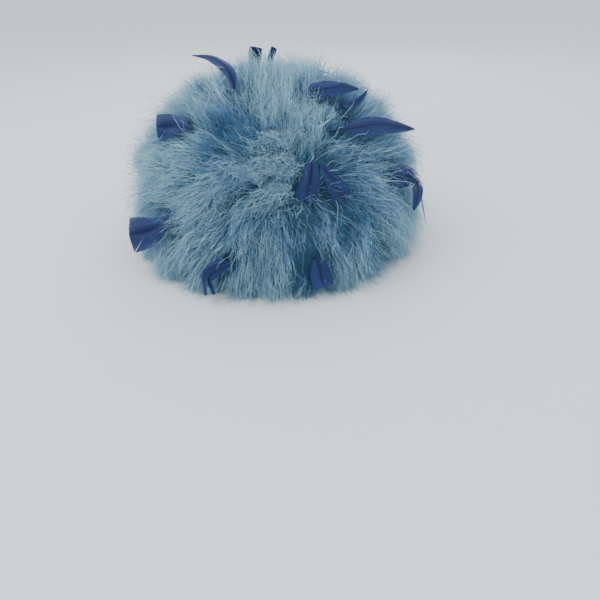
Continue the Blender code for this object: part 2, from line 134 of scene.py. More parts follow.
class Signal:
    """One output in a shader. Arithmetic on it adds the Math nodes that work it out."""

    def __init__(self, finish, socket):
        self.finish = finish
        self.socket = socket

    def _math(self, operation, *values):
        return self.finish.add("ShaderNodeMath", {"operation": operation}, list(values))

    def __add__(self, other):
        return self._math("ADD", self, other)

    def __mul__(self, other):
        return self._math("MULTIPLY", self, other)

    def __pow__(self, other):
        return self._math("POWER", self, other)

    def wave(self):
        """A sine of the value, moved to run from 0 to 1."""
        return self._math("SINE", self) * 0.5 + 0.5

    def clamped(self):
        return self.finish.add("ShaderNodeClamp", {}, [self, 0.0, 1.0])


class Finish:
    """One material, built node by node."""

    def __init__(self, name):
        self.material = bpy.data.materials.new(name)
        self.material.use_nodes = True
        self.tree = self.material.node_tree
        self.tree.nodes.clear()

    def node(self, kind, settings, values):
        """Adds a node: its settings first, then its sockets' values or links, by place or by name."""
        node = self.tree.nodes.new(kind)
        for key, value in settings.items():
            setattr(node, key, value)
        pairs = values.items() if isinstance(values, dict) else enumerate(values)
        for key, value in pairs:
            if isinstance(value, Signal):
                self.tree.links.new(value.socket, node.inputs[key])
            else:
                if node.inputs[key].type == "RGBA":
                    value = (*value, 1.0)
                node.inputs[key].default_value = value
        return node

    def add(self, kind, settings, values, output=0):
        """Adds a node and gives one of its outputs."""
        return Signal(self, self.node(kind, settings, values).outputs[output])

    def place(self):
        """Object coordinates."""
        return self.add("ShaderNodeTexCoord", {}, [], "Object")

    def axes(self, vector):
        """The three numbers of a vector."""
        parts = self.node("ShaderNodeSeparateXYZ", {}, [vector])
        return [Signal(self, parts.outputs[axis]) for axis in "XYZ"]

    def turned(self, place):
        """The angle of a place round the hat, and its height."""
        x, y, z = self.axes(place)
        return self.add("ShaderNodeMath", {"operation": "ARCTAN2"}, [y, x]), z

    def strand_map(self):
        """The strand's own (variation, way along) map."""
        return self.axes(self.add("ShaderNodeUVMap", {"uv_map": "OFBake"}, []))[:2]

    def noise(self, vector, scale, detail=3.0, roughness=0.55):
        values = {"Vector": vector, "Scale": scale, "Detail": detail, "Roughness": roughness}
        return self.add("ShaderNodeTexNoise", {}, values, "Fac")

    def ramp(self, factor, *stops):
        """A colour ramp through (place, colour) stops."""
        node = self.node("ShaderNodeValToRGB", {}, [factor])
        elements = node.color_ramp.elements
        while len(elements) < len(stops):
            elements.new(1.0)
        for element, (place, shade) in zip(elements, stops):
            element.position = place
            element.color = (*shade, 1.0)
        return Signal(self, node.outputs[0])

    def mix(self, factor, first, second):
        """A mix of two colours: sockets 6, 7 and 2 are the node's colour inputs and output."""
        return self.add("ShaderNodeMix", {"data_type": "RGBA"}, {"Factor": factor, 6: first, 7: second}, 2)

    def bump(self, height, strength, distance):
        return self.add("ShaderNodeBump", {}, {"Height": height, "Strength": strength, "Distance": distance})

    def principled(self, **values):
        return self.add("ShaderNodeBsdfPrincipled", {}, {k.replace("_", " "): v for k, v in values.items()})

    def close(self, shader):
        self.node("ShaderNodeOutputMaterial", {}, {"Surface": shader})
        return self.material

    def solid(self, **values):
        """Closes the material with one opaque shader."""
        return self.close(self.principled(**values))

    def see_through(self, share, **values):
        """Closes the material with a shader that lets this share of the light through."""
        glow = self.add("ShaderNodeBsdfTranslucent", {}, {"Color": values["Base_Color"]})
        return self.close(self.add("ShaderNodeMixShader", {}, [share, self.principled(**values), glow]))


def scaled(shade, factor):
    return tuple(min(1.0, channel * factor) for channel in shade)


def down_finish(colours):
    """Dyed blue marabou, pale and slightly see-through at the tips, with its roots darkened to deep teal as
    painted shade of the down's depths.
    """
    finish = Finish("marabou_down")
    variation, way = finish.strand_map()
    deep, middle, pale = colours.deep, colours.middle, colours.pale
    dark_tips = (0.0, scaled(middle, 0.55)), (0.35, scaled(middle, 1.15))
    light_tips = (0.7, scaled(pale, 0.80)), (1.0, scaled(pale, 1.35))
    tips = finish.ramp(variation, *dark_tips, *light_tips)
    # Painted shade: the roots darken towards the deep colour, and further still on barbs of low tone.
    roots = finish.ramp(variation, (0.0, scaled(deep, 0.45)), (0.5, deep), (1.0, scaled(middle, 0.9)))
    shade = finish.mix((way * 1.25).clamped() ** 0.9, roots, tips)
    return finish.see_through(0.45, Base_Color=shade, Roughness=0.75, Specular_IOR_Level=0.25)


def underdown_finish(colours):
    """The matted down close to the crown, between the puffs, coloured far darker than the down as painted
    shade of its depths.
    """
    finish = Finish("underdown")
    place = finish.place()
    matting = finish.noise(place, 260.0, 5.0, 0.7)
    patches = finish.noise(place, 34.0, 2.0)
    # Painted shade: the underdown's colours run from 15 % of the roots' deep colour to 80 % of it.
    stops = [(at, scaled(colours.deep, share)) for at, share in ((0.30, 0.15), (0.55, 0.40), (0.75, 0.8))]
    shade = finish.ramp(matting * 0.65 + patches * 0.35, *stops)
    return finish.solid(Base_Color=shade, Roughness=0.95, Normal=finish.bump(matting, 0.9, 0.002))


def shaft_finish():
    """The horny shaft of a plume."""
    finish = Finish("plume_shaft")
    streaks = finish.noise(finish.place(), 900.0, 2.0)
    shade = finish.ramp(streaks, (0.2, (0.30, 0.48, 0.60)), (0.8, (0.52, 0.68, 0.76)))
    return finish.solid(Base_Color=shade, Roughness=0.4)


def vane_finish(colours):
    """Dyed goose vane: royal blue with a soft sheen, deeper towards the shaft."""
    finish = Finish("accent_vane")
    variation, way = finish.strand_map()
    base = finish.mix(variation, colours.dark, colours.bright)
    shade = finish.mix(way * 0.5 + variation * 0.25, scaled(colours.dark, 0.8), base)
    return finish.see_through(0.15, Base_Color=shade, Roughness=0.42, Specular_IOR_Level=0.45)


def cloth_finish(name, dye, thread, roughness=0.85):
    """A plain weave whose threads are this far apart."""
    finish = Finish(name)
    place = finish.place()
    x, y, z = (axis * (math.tau / thread) for axis in finish.axes(place))
    weave = x.wave() * 0.34 + y.wave() * 0.33 + z.wave() * 0.33
    wear = finish.noise(place, 40.0, 3.0)
    shade = finish.mix(weave, scaled(dye, 0.72), scaled(dye, 1.2))
    worn = finish.mix(wear * 0.25, shade, scaled(dye, 1.6))
    normal = finish.bump(weave, 0.5, thread * 0.3)
    return finish.solid(Base_Color=worn, Roughness=roughness, Sheen_Weight=0.2, Normal=normal)


def satin_finish(name, dye):
    """Lining satin: fine warp threads that run up the crown, a soft sheen and slight wear."""
    finish = Finish(name)
    place = finish.place()
    angle, height = finish.turned(place)
    warp = (angle * 1400.0).wave() * 0.7 + (height * (math.tau / 0.0006)).wave() * 0.3
    slub = finish.noise(place, 55.0, 4.0, 0.6)
    shade = finish.mix(slub, scaled(dye, 0.80), scaled(dye, 1.25))
    threads = finish.mix(warp * 0.35, shade, scaled(dye, 1.5))
    normal = finish.bump(warp, 0.25, 0.0001)
    return finish.solid(Base_Color=threads, Roughness=slub * 0.16 + 0.34, Sheen_Weight=0.35, Normal=normal)


def grosgrain_finish(name, dye, rib=0.0011):
    """Ribbed ribbon: its ribs cross it, this far apart, and its colour is lighter along their tops, darker
    between them and lighter in worn patches.
    """
    finish = Finish(name)
    place = finish.place()
    angle, _ = finish.turned(place)
    ribs = (angle * round(math.tau * RIBBON_RADIUS / rib)).wave()
    fuzz = finish.noise(place, 900.0, 2.0)
    wear = finish.noise(place, 30.0, 3.0)
    shade = finish.mix(ribs * 0.75 + fuzz * 0.25, scaled(dye, 0.45), scaled(dye, 1.35))
    worn = finish.mix(wear * 0.22, shade, scaled(dye, 2.2))
    normal = finish.bump(ribs + fuzz * 0.2, 0.7, rib * 0.3)
    return finish.solid(Base_Color=worn, Roughness=0.62, Sheen_Weight=0.25, Normal=normal)


def wire_finish():
    """Drawn millinery wire, dulled in patches."""
    finish = Finish("wire")
    dulled = finish.noise(finish.place(), 320.0, 4.0, 0.65)
    shade = finish.ramp(dulled, (0.3, (0.20, 0.21, 0.23)), (0.7, (0.46, 0.47, 0.49)))
    normal = finish.bump(dulled, 0.3, 0.0001)
    return finish.solid(Base_Color=shade, Roughness=dulled * 0.3 + 0.28, Metallic=1.0, Normal=normal)


def cord_finish(dye):
    """Twisted stringing cord, with its strands winding round it."""
    finish = Finish("down_cord")
    place = finish.place()
    angle, height = finish.turned(place)
    twist = (angle * 260.0 + height * (math.tau / 0.0024)).wave()
    fuzz = finish.noise(place, 700.0, 3.0)
    shade = finish.mix(twist * 0.7 + fuzz * 0.3, scaled(dye, 0.5), scaled(dye, 1.4))
    normal = finish.bump(twist + fuzz * 0.3, 0.8, 0.0004)
    return finish.solid(Base_Color=shade, Roughness=0.85, Normal=normal)


def thread_finish():
    """Sewing thread, with painted shade that darkens the later half of each stitch, towards where it dips
    into the ribbon, and a tone that differs from stitch to stitch.
    """
    finish = Finish("sewing_thread")
    variation, way = finish.strand_map()
    factor = (way * math.tau).wave() * 0.4 + variation * 0.3
    return finish.solid(Base_Color=finish.mix(factor, (0.03, 0.06, 0.16), (0.10, 0.17, 0.34)), Roughness=0.6)


def paper_finish(shade):
    """The pale floor, with a faint grain."""
    finish = Finish("floor_paper")
    grain = finish.noise(finish.place(), 90.0, 4.0)
    return finish.solid(Base_Color=finish.mix(grain * 0.12, shade, scaled(shade, 0.9)), Roughness=0.95)


# ---------------------------------------------------------------- the hat's surfaces

# The crown that the down is sewn to, and the down's outer surface, as the CAD's rows have them
CROWN_HALF_WIDTH = 0.0899
CROWN_HALF_LENGTH = 0.1074
CROWN_TOP = 0.1083
CROWN_SQUARENESS = 2.5
DOWN_FOOT = 0.003
WIDEST_AT = 0.030
FOOT_SHARE = 0.93
DOWN_SQUARENESS = 2.15
LINE_POINTS = 241


def evened(points, count):
    """A line of (radius, height) points, redrawn with its points the same distance apart."""
    steps = np.r_[0.0, np.cumsum(np.hypot(*np.diff(points, axis=0).T))]
    even = np.linspace(0.0, steps[-1], count)
    return np.stack([np.interp(even, steps, points[:, 0]), np.interp(even, steps, points[:, 1])], -1)


def crown_line():
    """The crown's section as (share of the half width, height), from its foot to its top."""
    turn = np.linspace(0.0, math.pi / 2, 200)
    share = np.cos(turn) ** (2 / CROWN_SQUARENESS)
    height = np.maximum(DOWN_FOOT, CROWN_TOP * np.sin(turn) ** (2 / CROWN_SQUARENESS))
    line = evened(np.stack([share * CROWN_HALF_LENGTH, height], -1), LINE_POINTS)
    return line / np.array([CROWN_HALF_LENGTH, 1.0])


def down_line(length, height):
    """The down's outer section as (share of the half width, height), from its foot to its top."""
    rise = np.linspace(0.0, 1.0, 40)
    swell = FOOT_SHARE + (1 - FOOT_SHARE) * np.sqrt(1 - (1 - rise) ** 2)
    foot = np.stack([swell, DOWN_FOOT + rise * (WIDEST_AT - DOWN_FOOT)], -1)
    turn = np.linspace(0.0, math.pi / 2, 300)[1:]
    over = np.cos(turn) ** (2 / DOWN_SQUARENESS)
    dome = np.stack([over, WIDEST_AT + np.sin(turn) ** (2 / DOWN_SQUARENESS) * (height - WIDEST_AT)], -1)
    line = np.concatenate([foot, dome]) * np.array([length / 2, 1.0])
    return evened(line, LINE_POINTS) / np.array([length / 2, 1.0])


class DownShape:
    """The space between the crown and the down's outer surface, and directions in it."""

    def __init__(self, width, length, height):
        self.half_width = width / 2
        self.half_length = length / 2
        self.height = height
        self.inner = crown_line()
        self.outer = down_line(length, height)
        self.ways = np.linspace(0.0, 1.0, LINE_POINTS)

    def point(self, azimuth, way, share):
        """Points at an azimuth in radians, a way from foot (0) to top (1), and a share of the way out."""
        inner = [np.interp(way, self.ways, self.inner[:, k]) for k in (0, 1)]
        outer = [np.interp(way, self.ways, self.outer[:, k]) for k in (0, 1)]
        east, south = np.sin(azimuth), -np.cos(azimuth)
        x = (inner[0] * CROWN_HALF_WIDTH * (1 - share) + outer[0] * self.half_width * share) * east
        y = (inner[0] * CROWN_HALF_LENGTH * (1 - share) + outer[0] * self.half_length * share) * south
        return np.stack([x, y, inner[1] * (1 - share) + outer[1] * share], -1)

    def at_height(self, degrees, millimetres):
        """The point of the outer surface at an azimuth and a height."""
        way = np.interp(millimetres / 1000, self.outer[:, 1], self.ways)
        return self.point(math.radians(degrees), way, 1.0)

    def outward(self, points):
        """Unit vectors out of the nested copy of the outer surface that passes through each point."""
        x, y = points[..., 0] / self.half_width, points[..., 1] / self.half_length
        rise = self.height - WIDEST_AT
        over = np.clip((points[..., 2] - WIDEST_AT) / rise, 0.0, None)
        across = np.maximum(np.hypot(x, y), 1e-4) ** (DOWN_SQUARENESS - 2)
        up = over ** (DOWN_SQUARENESS - 1) / rise
        out = np.stack([across * x / self.half_width, across * y / self.half_length, up], -1)
        return out / (np.linalg.norm(out, axis=-1, keepdims=True) + 1e-9)

    def excess(self, points):
        """How far points stand out of the outer surface, about, in metres."""
        across = np.hypot(points[..., 0] / self.half_width, points[..., 1] / self.half_length)
        over = np.clip((points[..., 2] - WIDEST_AT) / (self.height - WIDEST_AT), 0.0, None)
        level = (across**DOWN_SQUARENESS + over**DOWN_SQUARENESS) ** (1 / DOWN_SQUARENESS)
        return (level - 1.0) * (self.half_width + self.half_length) / 2


def inside_crown(lines):
    """Which strands pass into the crown."""
    spread = np.hypot(lines[..., 0] / CROWN_HALF_WIDTH, lines[..., 1] / CROWN_HALF_LENGTH)
    rise = np.clip(lines[..., 2] / CROWN_TOP, 0, 1)
    return (spread**CROWN_SQUARENESS + rise**CROWN_SQUARENESS < 1).any(axis=1)


OCTAVES = 6


def smooth_noise(points, rng, scale):
    """A soft random field over space, about -1 to 1, with features of this size."""
    total = np.zeros(points.shape[:-1])
    for _ in range(OCTAVES):
        direction = rng.normal(size=3)
        direction *= math.tau / scale * rng.uniform(0.6, 1.4) / np.linalg.norm(direction)
        total += np.sin(points @ direction + rng.uniform(0, math.tau))
    return total / math.sqrt(OCTAVES)


# ---------------------------------------------------------------- strands

STRIP = 0.004  # the width on the colour map of one side of a strand
ASKEW = np.array([0.31, 0.47, 0.83])  # a direction that few strands take


def unit(vectors):
    return vectors / (np.linalg.norm(vectors, axis=-1, keepdims=True) + 1e-12)


def round_corners(lines, radii):
    """The three corners of each ring of round strands. There is a radius for each ring but the tip."""
    rings = lines.shape[1] - 1
    along = unit(np.gradient(lines, axis=1))[:, :rings]
    helper = unit(np.cross(lines[:, -1] - lines[:, 0], ASKEW))
    first = unit(np.cross(along, helper[:, None, :]))
    second = np.cross(along, first)
    turns = [math.tau * k / 3 for k in range(3)]
    offsets = np.stack([math.cos(turn) * first + math.sin(turn) * second for turn in turns], 2)
    return lines[:, :rings, None, :] + offsets * radii[:, :, None, None]


def flat_corners(lines, faces_out, half_widths, thickness):
    """The three corners of each ring of flat strands, which are this thick and lie across faces_out."""
    rings = lines.shape[1] - 1
    along = unit(np.gradient(lines, axis=1))[:, :rings]
    out = faces_out[:, :rings]
    side = unit(np.cross(along, out)) * half_widths[:, :, None]
    middle = lines[:, :rings]
    return np.stack([middle + side, middle - side, middle + out * thickness], 2)


def strand_faces(rings):
    """The faces of one strand: vertices, places on the colour map, and how many corners each face has."""
    faces, ways = [], []
    for ring in range(rings - 1):
        for k in range(3):
            a, b = ring * 3 + k, ring * 3 + (k + 1) % 3
            faces.append((a, b, b + 3, a + 3))
            ways.append(((k, ring), (k + 1, ring), (k + 1, ring + 1), (k, ring + 1)))
    for k in range(3):
        a, b = (rings - 1) * 3 + k, (rings - 1) * 3 + (k + 1) % 3
        faces.append((a, b, rings * 3))
        ways.append(((k, rings - 1), (k + 1, rings - 1), (k + 0.5, rings)))
    faces.append((2, 1, 0))
    ways.append(((2, 0), (1, 0), (0, 0)))
    pattern = np.array([corner for face in faces for corner in face])
    places = np.array([place for face in ways for place in face], float)
    return pattern, places / np.array([1.0, rings]), np.array([len(face) for face in faces])


def strand_mesh(name, batches):
    """One mesh of closed strands. Each batch is (corners, tips, variation): the corners of its rings, its
    strands' tips, and each strand's place across the colour map."""
    vertices, loops, sizes, map_points = [], [], [], []
    base = 0
    for corners, tips, variation in batches:
        count, rings = corners.shape[:2]
        pattern, places, counts = strand_faces(rings)
        points = np.concatenate([corners.reshape(count, rings * 3, 3), tips[:, None, :]], 1)
        vertices.append(points.reshape(-1, 3))
        starts = base + np.arange(count) * (rings * 3 + 1)
        loops.append((pattern[None, :] + starts[:, None]).ravel())
        sizes.append(np.tile(counts, count))
        across = np.clip(variation, 0.0, 1.0) * (1 - 3 * STRIP)
        u = across[:, None] + places[None, :, 0] * STRIP
        v = np.broadcast_to(places[None, :, 1], u.shape)
        map_points.append(np.stack([u, v], -1).reshape(-1, 2))
        base += count * (rings * 3 + 1)
    parts = (vertices, loops, sizes, map_points)
    vertices, loops, sizes, map_points = (np.concatenate(part) for part in parts)

    mesh = bpy.data.meshes.new(name)
    mesh.vertices.add(len(vertices))
    mesh.vertices.foreach_set("co", vertices.astype(np.float32).ravel())
    mesh.loops.add(len(loops))
    mesh.loops.foreach_set("vertex_index", loops.astype(np.int32))
    mesh.polygons.add(len(sizes))
    mesh.polygons.foreach_set("loop_start", np.r_[0, np.cumsum(sizes)[:-1]].astype(np.int32))
    mesh.update(calc_edges=True)
    mesh.polygons.foreach_set("use_smooth", np.ones(len(sizes), bool))
    layer = mesh.uv_layers.new(name="OFBake")
    layer.uv.foreach_set("vector", map_points.astype(np.float32).ravel())
    mesh.validate()
    return mesh


def link_piece(name, mesh, finish, slot, *replaced):
    """Links a mesh as a piece that rides on the hat."""
    piece = bpy.data.objects.new(name, mesh)
    bpy.context.scene.collection.objects.link(piece)
    mesh.materials.clear()
    mesh.materials.append(finish)
    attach(piece, "root")
    if replaced:
        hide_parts(*replaced)


def add_piece(name, batches, finish, slot, *replaced):
    """Links a piece made of strands."""
    link_piece(name, strand_mesh(name, batches), finish, slot, *replaced)


# ---------------------------------------------------------------- the down

# Plumes at the front that keep their own places: azimuth and height of the root, azimuth and height of the
# tip, half width, rise above the usual surface, all in degrees or millimetres, and tone, which differs from
# plume to plume and also holds painted light: higher on the left and top plumes, where the light falls, and
# lower on the middle and right ones, as painted shade.
FRONT_PLUMES = [
    (-18, 112, -66, 96, 22, 8, 0.30),
    (-19, 94, -70, 70, 22, 7, 0.29),
    (-20, 76, -58, 44, 21, 5, 0.15),
    (-20, 70, -38, 22, 18, 4, 0.10),
    (-23, 130, -84, 146, 20, 13, 0.22),
    (-28, 122, -86, 122, 19, 11, 0.20),
    (-3, 125, -32, 152, 18, 9, 0.30),
    (7, 126, 52, 150, 17, 7, 0.26),
    (21, 122, 88, 136, 17, 5, -0.02),
    (26, 114, 76, 112, 17, 4, -0.04),
    (28, 104, 78, 86, 19, 6, -0.04),
    (42, 80, 58, 14, 20, 8, 0.20),
    (34, 80, 30, 22, 17, 6, 0.06),
    (16, 74, 20, 14, 14, 2, -0.04),
    (-1, 78, -2, 5, 19, 7, 0.12),
    (-8, 80, -16, 18, 18, 4, 0.06),
    (-16, 60, -31, 8, 17, 4, 0.22),
    (12, 116, -16, 117, 13, 1, -0.22),
    (11, 102, -15, 98, 14, 2, -0.10),
    (7, 91, -9, 74, 14, 2, 0.04),
    (22, 107, 34, 108, 11, -1, -0.04),
    (11, 80, 8, 49, 11, -1, -0.04),
]
WHORL = np.array([0.016, -0.100, 0.108])  # the messy middle that the front plumes fan out from
# Where the partings at the front show deepest, and where the down is painted darkest as shade: azimuth,
# height and radius, in degrees and millimetres
FRONT_PARTINGS = [
    (-20, 124, 15),
    (-25, 112, 11),
    (9, 61, 11),
    (11, 31, 10),
    (29, 67, 15),
    (20, 100, 13),
    (-11, 120, 7),
]
PLUME_GAP = 0.029  # the least gap between the middles of two plumes
PLUME_TRIES = 500  # places tried for each plume, of which the emptiest is kept
PLUME_LENGTH = 0.062
PLUME_LENGTHS = (0.8, 1.2)  # the shortest and the longest, against the usual
PLUME_MIDDLE = 0.45  # the middle's share of the way from root to tip
PLUME_HALF_WIDTHS = (0.017, 0.022)
PLUME_RISES = (-0.003, 0.010)
PLUME_TONES = (-0.06, 0.14)
PLUME_LEAN = 0.35  # how far plumes lean at random
PLUME_HANG = 1.2  # how strongly low plumes hang down
HANG_BELOW = 0.11
PLUME_REACH = 0.62  # of a plume's pull on points along it, against its length
RAGGED = 0.07  # of the borders between plumes
TOP_EXTRA = 0.02  # added to a ring's radius for its share of the down, so that the top gets some
DOWNWARDS = np.array([0.0, 0.0, -1.0])


def smooth_step(values):
    values = np.clip(values, 0.0, 1.0)
    return values * values * (3 - 2 * values)


def nearness(points, middle, radius):
    """How near points are to a middle: 1 in it, and 0 well beyond the radius."""
    gap = np.linalg.norm(points - middle, axis=-1)
    return np.exp(-((gap / radius) ** 2))


def ring_shares(shape):
    """How much of the down each of the surface's rings gets."""
    girth = shape.outer[:, 0] + TOP_EXTRA
    return girth / girth.sum()


class Plumes:
    """The hat's plumes, each a soft tongue of down that lies along the surface from its root to its tip."""

    def __init__(self, shape):
        rng = np.random.default_rng(SEED)
        roots, tips, halves, rises, tones = [], [], [], [], []
        for azimuth, height, tip_azimuth, tip_height, half, rise, tone in FRONT_PLUMES:
            roots.append(shape.at_height(azimuth, height))
            tips.append(shape.at_height(tip_azimuth, tip_height))
            halves.append(half / 1000)
            rises.append(rise / 1000)
            tones.append(tone)
        middles = [root * (1 - PLUME_MIDDLE) + tip * PLUME_MIDDLE for root, tip in zip(roots, tips)]
        shares = ring_shares(shape)
        while True:
            ways = rng.choice(shape.ways, PLUME_TRIES, p=shares)
            candidates = shape.point(rng.uniform(0, math.tau, PLUME_TRIES), ways, 1.0)
            gaps = np.linalg.norm(candidates[:, None] - np.array(middles)[None], axis=2).min(1)
            best = int(np.argmax(gaps))
            if gaps[best] < PLUME_GAP:
                break
            middle = candidates[best]
            out = shape.outward(middle)
            lean = unit(middle - WHORL) + DOWNWARDS * PLUME_HANG * np.clip(1.1 - middle[2] / 0.1, 0, 1)
            lean = lean + rng.normal(size=3) * PLUME_LEAN
            lean = unit(lean - out * (lean @ out))
            reach = PLUME_LENGTH * rng.uniform(*PLUME_LENGTHS)
            middles.append(middle)
            roots.append(middle - lean * reach * PLUME_MIDDLE)
            tips.append(middle + lean * reach * (1 - PLUME_MIDDLE))
            halves.append(rng.uniform(*PLUME_HALF_WIDTHS))
            rises.append(rng.uniform(*PLUME_RISES))
            tones.append(rng.uniform(*PLUME_TONES))
        self.partings = [(shape.at_height(*place), radius / 1000) for *place, radius in FRONT_PARTINGS]
        self.roots, self.halves = np.array(roots), np.array(halves)
        self.rises, self.tones = np.array(rises), np.array(tones)
        spans = np.array(tips) - self.roots
        self.lengths = np.linalg.norm(spans, axis=1)
        self.axes = spans / self.lengths[:, None]

    def places(self, points, mine):
        """Where points lie on their plume: the way along it, and the vector across it in half widths."""
        offset = points - self.roots[mine]
        along = np.sum(offset * self.axes[mine], -1)
        across = offset - along[..., None] * self.axes[mine]
        return along / self.lengths[mine], across / self.halves[mine][..., None]

    def nearest(self, points, rng):
        """The plume that each point belongs to. The borders are ragged."""
        best = np.full(len(points), np.inf)
        owner = np.zeros(len(points), int)
        for k in range(len(self.roots)):
            way, across = self.places(points, np.full(len(points), k))
            distance = np.hypot((way - PLUME_MIDDLE) / PLUME_REACH, np.linalg.norm(across, axis=-1))
            distance += rng.normal(0, RAGGED, len(points))
            closer = distance < best
            best[closer], owner[closer] = distance[closer], k
        return owner

    def parted(self, points):
        """How near points are to the middle of a deep parting: 1 in it, and 0 away from all of them."""
        return np.max([nearness(points, middle, radius) for middle, radius in self.partings], axis=0)

    def dome(self, points, mine):
        """How full the plume is at each point: 1 along its middle, and 0 past its edges."""
        way, across = self.places(points, mine)
        width = np.clip(1 - np.sum(across**2, -1), 0, 1) ** 0.7
        return width * smooth_step((way + 0.18) / 0.42) * (1 - 0.45 * smooth_step((way - 0.85) / 0.4))


SUBSTEPS = 3  # steps of growth from one ring of a strand to the next
SOFTNESS = 0.0015  # of the limits that strands are drawn in to


def grow(shape, roots, flow, lengths, lift, lay, droop, waves, rings):
    """Strand centrelines, (count, rings + 1, 3): each leaves its root at the angle lift from straight out and
    turns down to the angle lay, along its flow round the hat, while its weight draws it down."""
    lines = np.empty((len(roots), rings + 1, 3))
    lines[:, 0] = roots
    steps = rings * SUBSTEPS
    here = roots.copy()
    for step in range(steps):
        t = (step + 0.5) / steps
        out = shape.outward(here)
        flow = unit(flow - out * np.sum(flow * out, 1, keepdims=True))
        angle = lift + (lay - lift) * t**0.7
        heading = np.cos(angle)[:, None] * out + np.sin(angle)[:, None] * flow
        first, second = t * math.cos(math.tau * t * 0.9), t * math.sin(math.tau * t * 1.3)
        heading = heading + waves[0] * first + waves[1] * second
        heading = unit(heading + DOWNWARDS * (droop * t)[:, None])
        here = here + heading * (lengths / steps)[:, None]
        if (step + 1) % SUBSTEPS == 0:
            lines[:, (step + 1) // SUBSTEPS] = here
    return lines


def settle(shape, lines, allowance, floor):
    """Draws in what stands too far out of the hat, and lays on the floor what would pass through it."""
    over = shape.excess(lines) - allowance
    pull = SOFTNESS * np.logaddexp(0.0, over / SOFTNESS)
    lines = lines - shape.outward(lines) * (pull * 0.9)[:, :, None]
    lines[:, :, 2] = SOFTNESS * np.logaddexp(0.0, (lines[:, :, 2] - floor) / SOFTNESS) + floor
    return lines


def clump(lines, size_of_lock, strength, rng):
    """Draws the ends of neighbouring strands together into locks. Gives the lines and each one's lock."""
    leaders = rng.choice(len(lines), max(1, len(lines) // size_of_lock), replace=False)
    tree = KDTree(len(leaders))
    for k, leader in enumerate(leaders):
        tree.insert(lines[leader, 2], k)
    tree.balance()
    owner = np.array([tree.find(line[2])[1] for line in lines])
    lead = lines[leaders][owner]
    pull = strength * np.linspace(0, 1, lines.shape[1])[None, :, None] ** 1.3
    return lead + (lines - lead) * (1 - pull), owner


def shared_noise(rng, groups, spread):
    """One random value for each group, given to all of its members."""
    return rng.normal(0, spread, groups.max() + 1)[groups]


# Kinds of barb: their share of all, rings, length and radius against the usual, root's share of the way out,
# lift and lay from straight out, droop, wave, lock strength, tone, spread of tone, and how proud they stand
KIND_FIELDS = "share rings length radius root lift lay droop wave lock tone spread proud".split()
KIND_ROWS = {
    "body": (0.43, 4, (0.85, 1.35), 0.90, (0.42, 0.76), 0.35, 1.15, 0.10, 0.40, 0.34, 0.50, 0.15, 0.0060),
    "veil": (0.30, 4, (0.85, 1.40), 0.46, (0.50, 0.85), 0.25, 0.90, 0.06, 0.60, 0.14, 0.86, 0.12, 0.0100),
    "wisp": (0.085, 5, (0.50, 1.00), 1.15, (0.72, 0.96), 0.15, 0.62, 0.02, 0.70, 0.05, 0.92, 0.10, 0.0200),
    # The under barbs' low tone is painted shade of the depths they lie in.
    "under": (0.100, 3, (0.40, 0.75), 1.25, (0.25, 0.60), 0.70, 1.50, 0.20, 0.60, 0.20, 0.20, 0.09, -0.008),
    "curl": (0.11, 5, (0.30, 0.70), 0.70, (0.75, 0.98), 0.70, 1.45, 0.10, 1.45, 0.08, 0.72, 0.20, 0.004),
}
KINDS = {kind: dict(zip(KIND_FIELDS, row)) for kind, row in KIND_ROWS.items()}
FARTHEST_OUT = 0.0175  # of a barb, beyond the down's surface
WHORL_RADIUS = 0.026  # within which barbs are shorter, paler and lie every way
CURL_REACH = 0.034  # how far round the whorl the short curled barbs grow
CURLS_ELSEWHERE = 0.012  # the share of the chances that they grow elsewhere
CURL_DRAWS = 12  # chances drawn for each curled barb
SWIRL = 0.04  # the size of the swirls that barbs stray along
LOWEST_LIE = 0.004  # how far under their allowance all barbs lie
PARTED_LIE = 0.022  # how much further they lie in a parting


def sow(shape, settings, kind, rng):
    """Where one kind of barb grows: its way up the down's surface, and its azimuth."""
    count = int(settings.barbs * KINDS[kind]["share"])
    draw = count * (CURL_DRAWS if kind == "curl" else 1)
    way = rng.choice(shape.ways, draw, p=ring_shares(shape)) + rng.uniform(-0.5, 0.5, draw) / LINE_POINTS
    way = np.clip(way, 0.004, 0.997)
    azimuth = rng.uniform(0, math.tau, draw)
    if kind == "curl":
        whorled = nearness(shape.point(azimuth, way, 1.0), WHORL, CURL_REACH)
        few = rng.random(draw) < CURLS_ELSEWHERE + whorled
        way, azimuth = way[few][:count], azimuth[few][:count]
    return way, azimuth


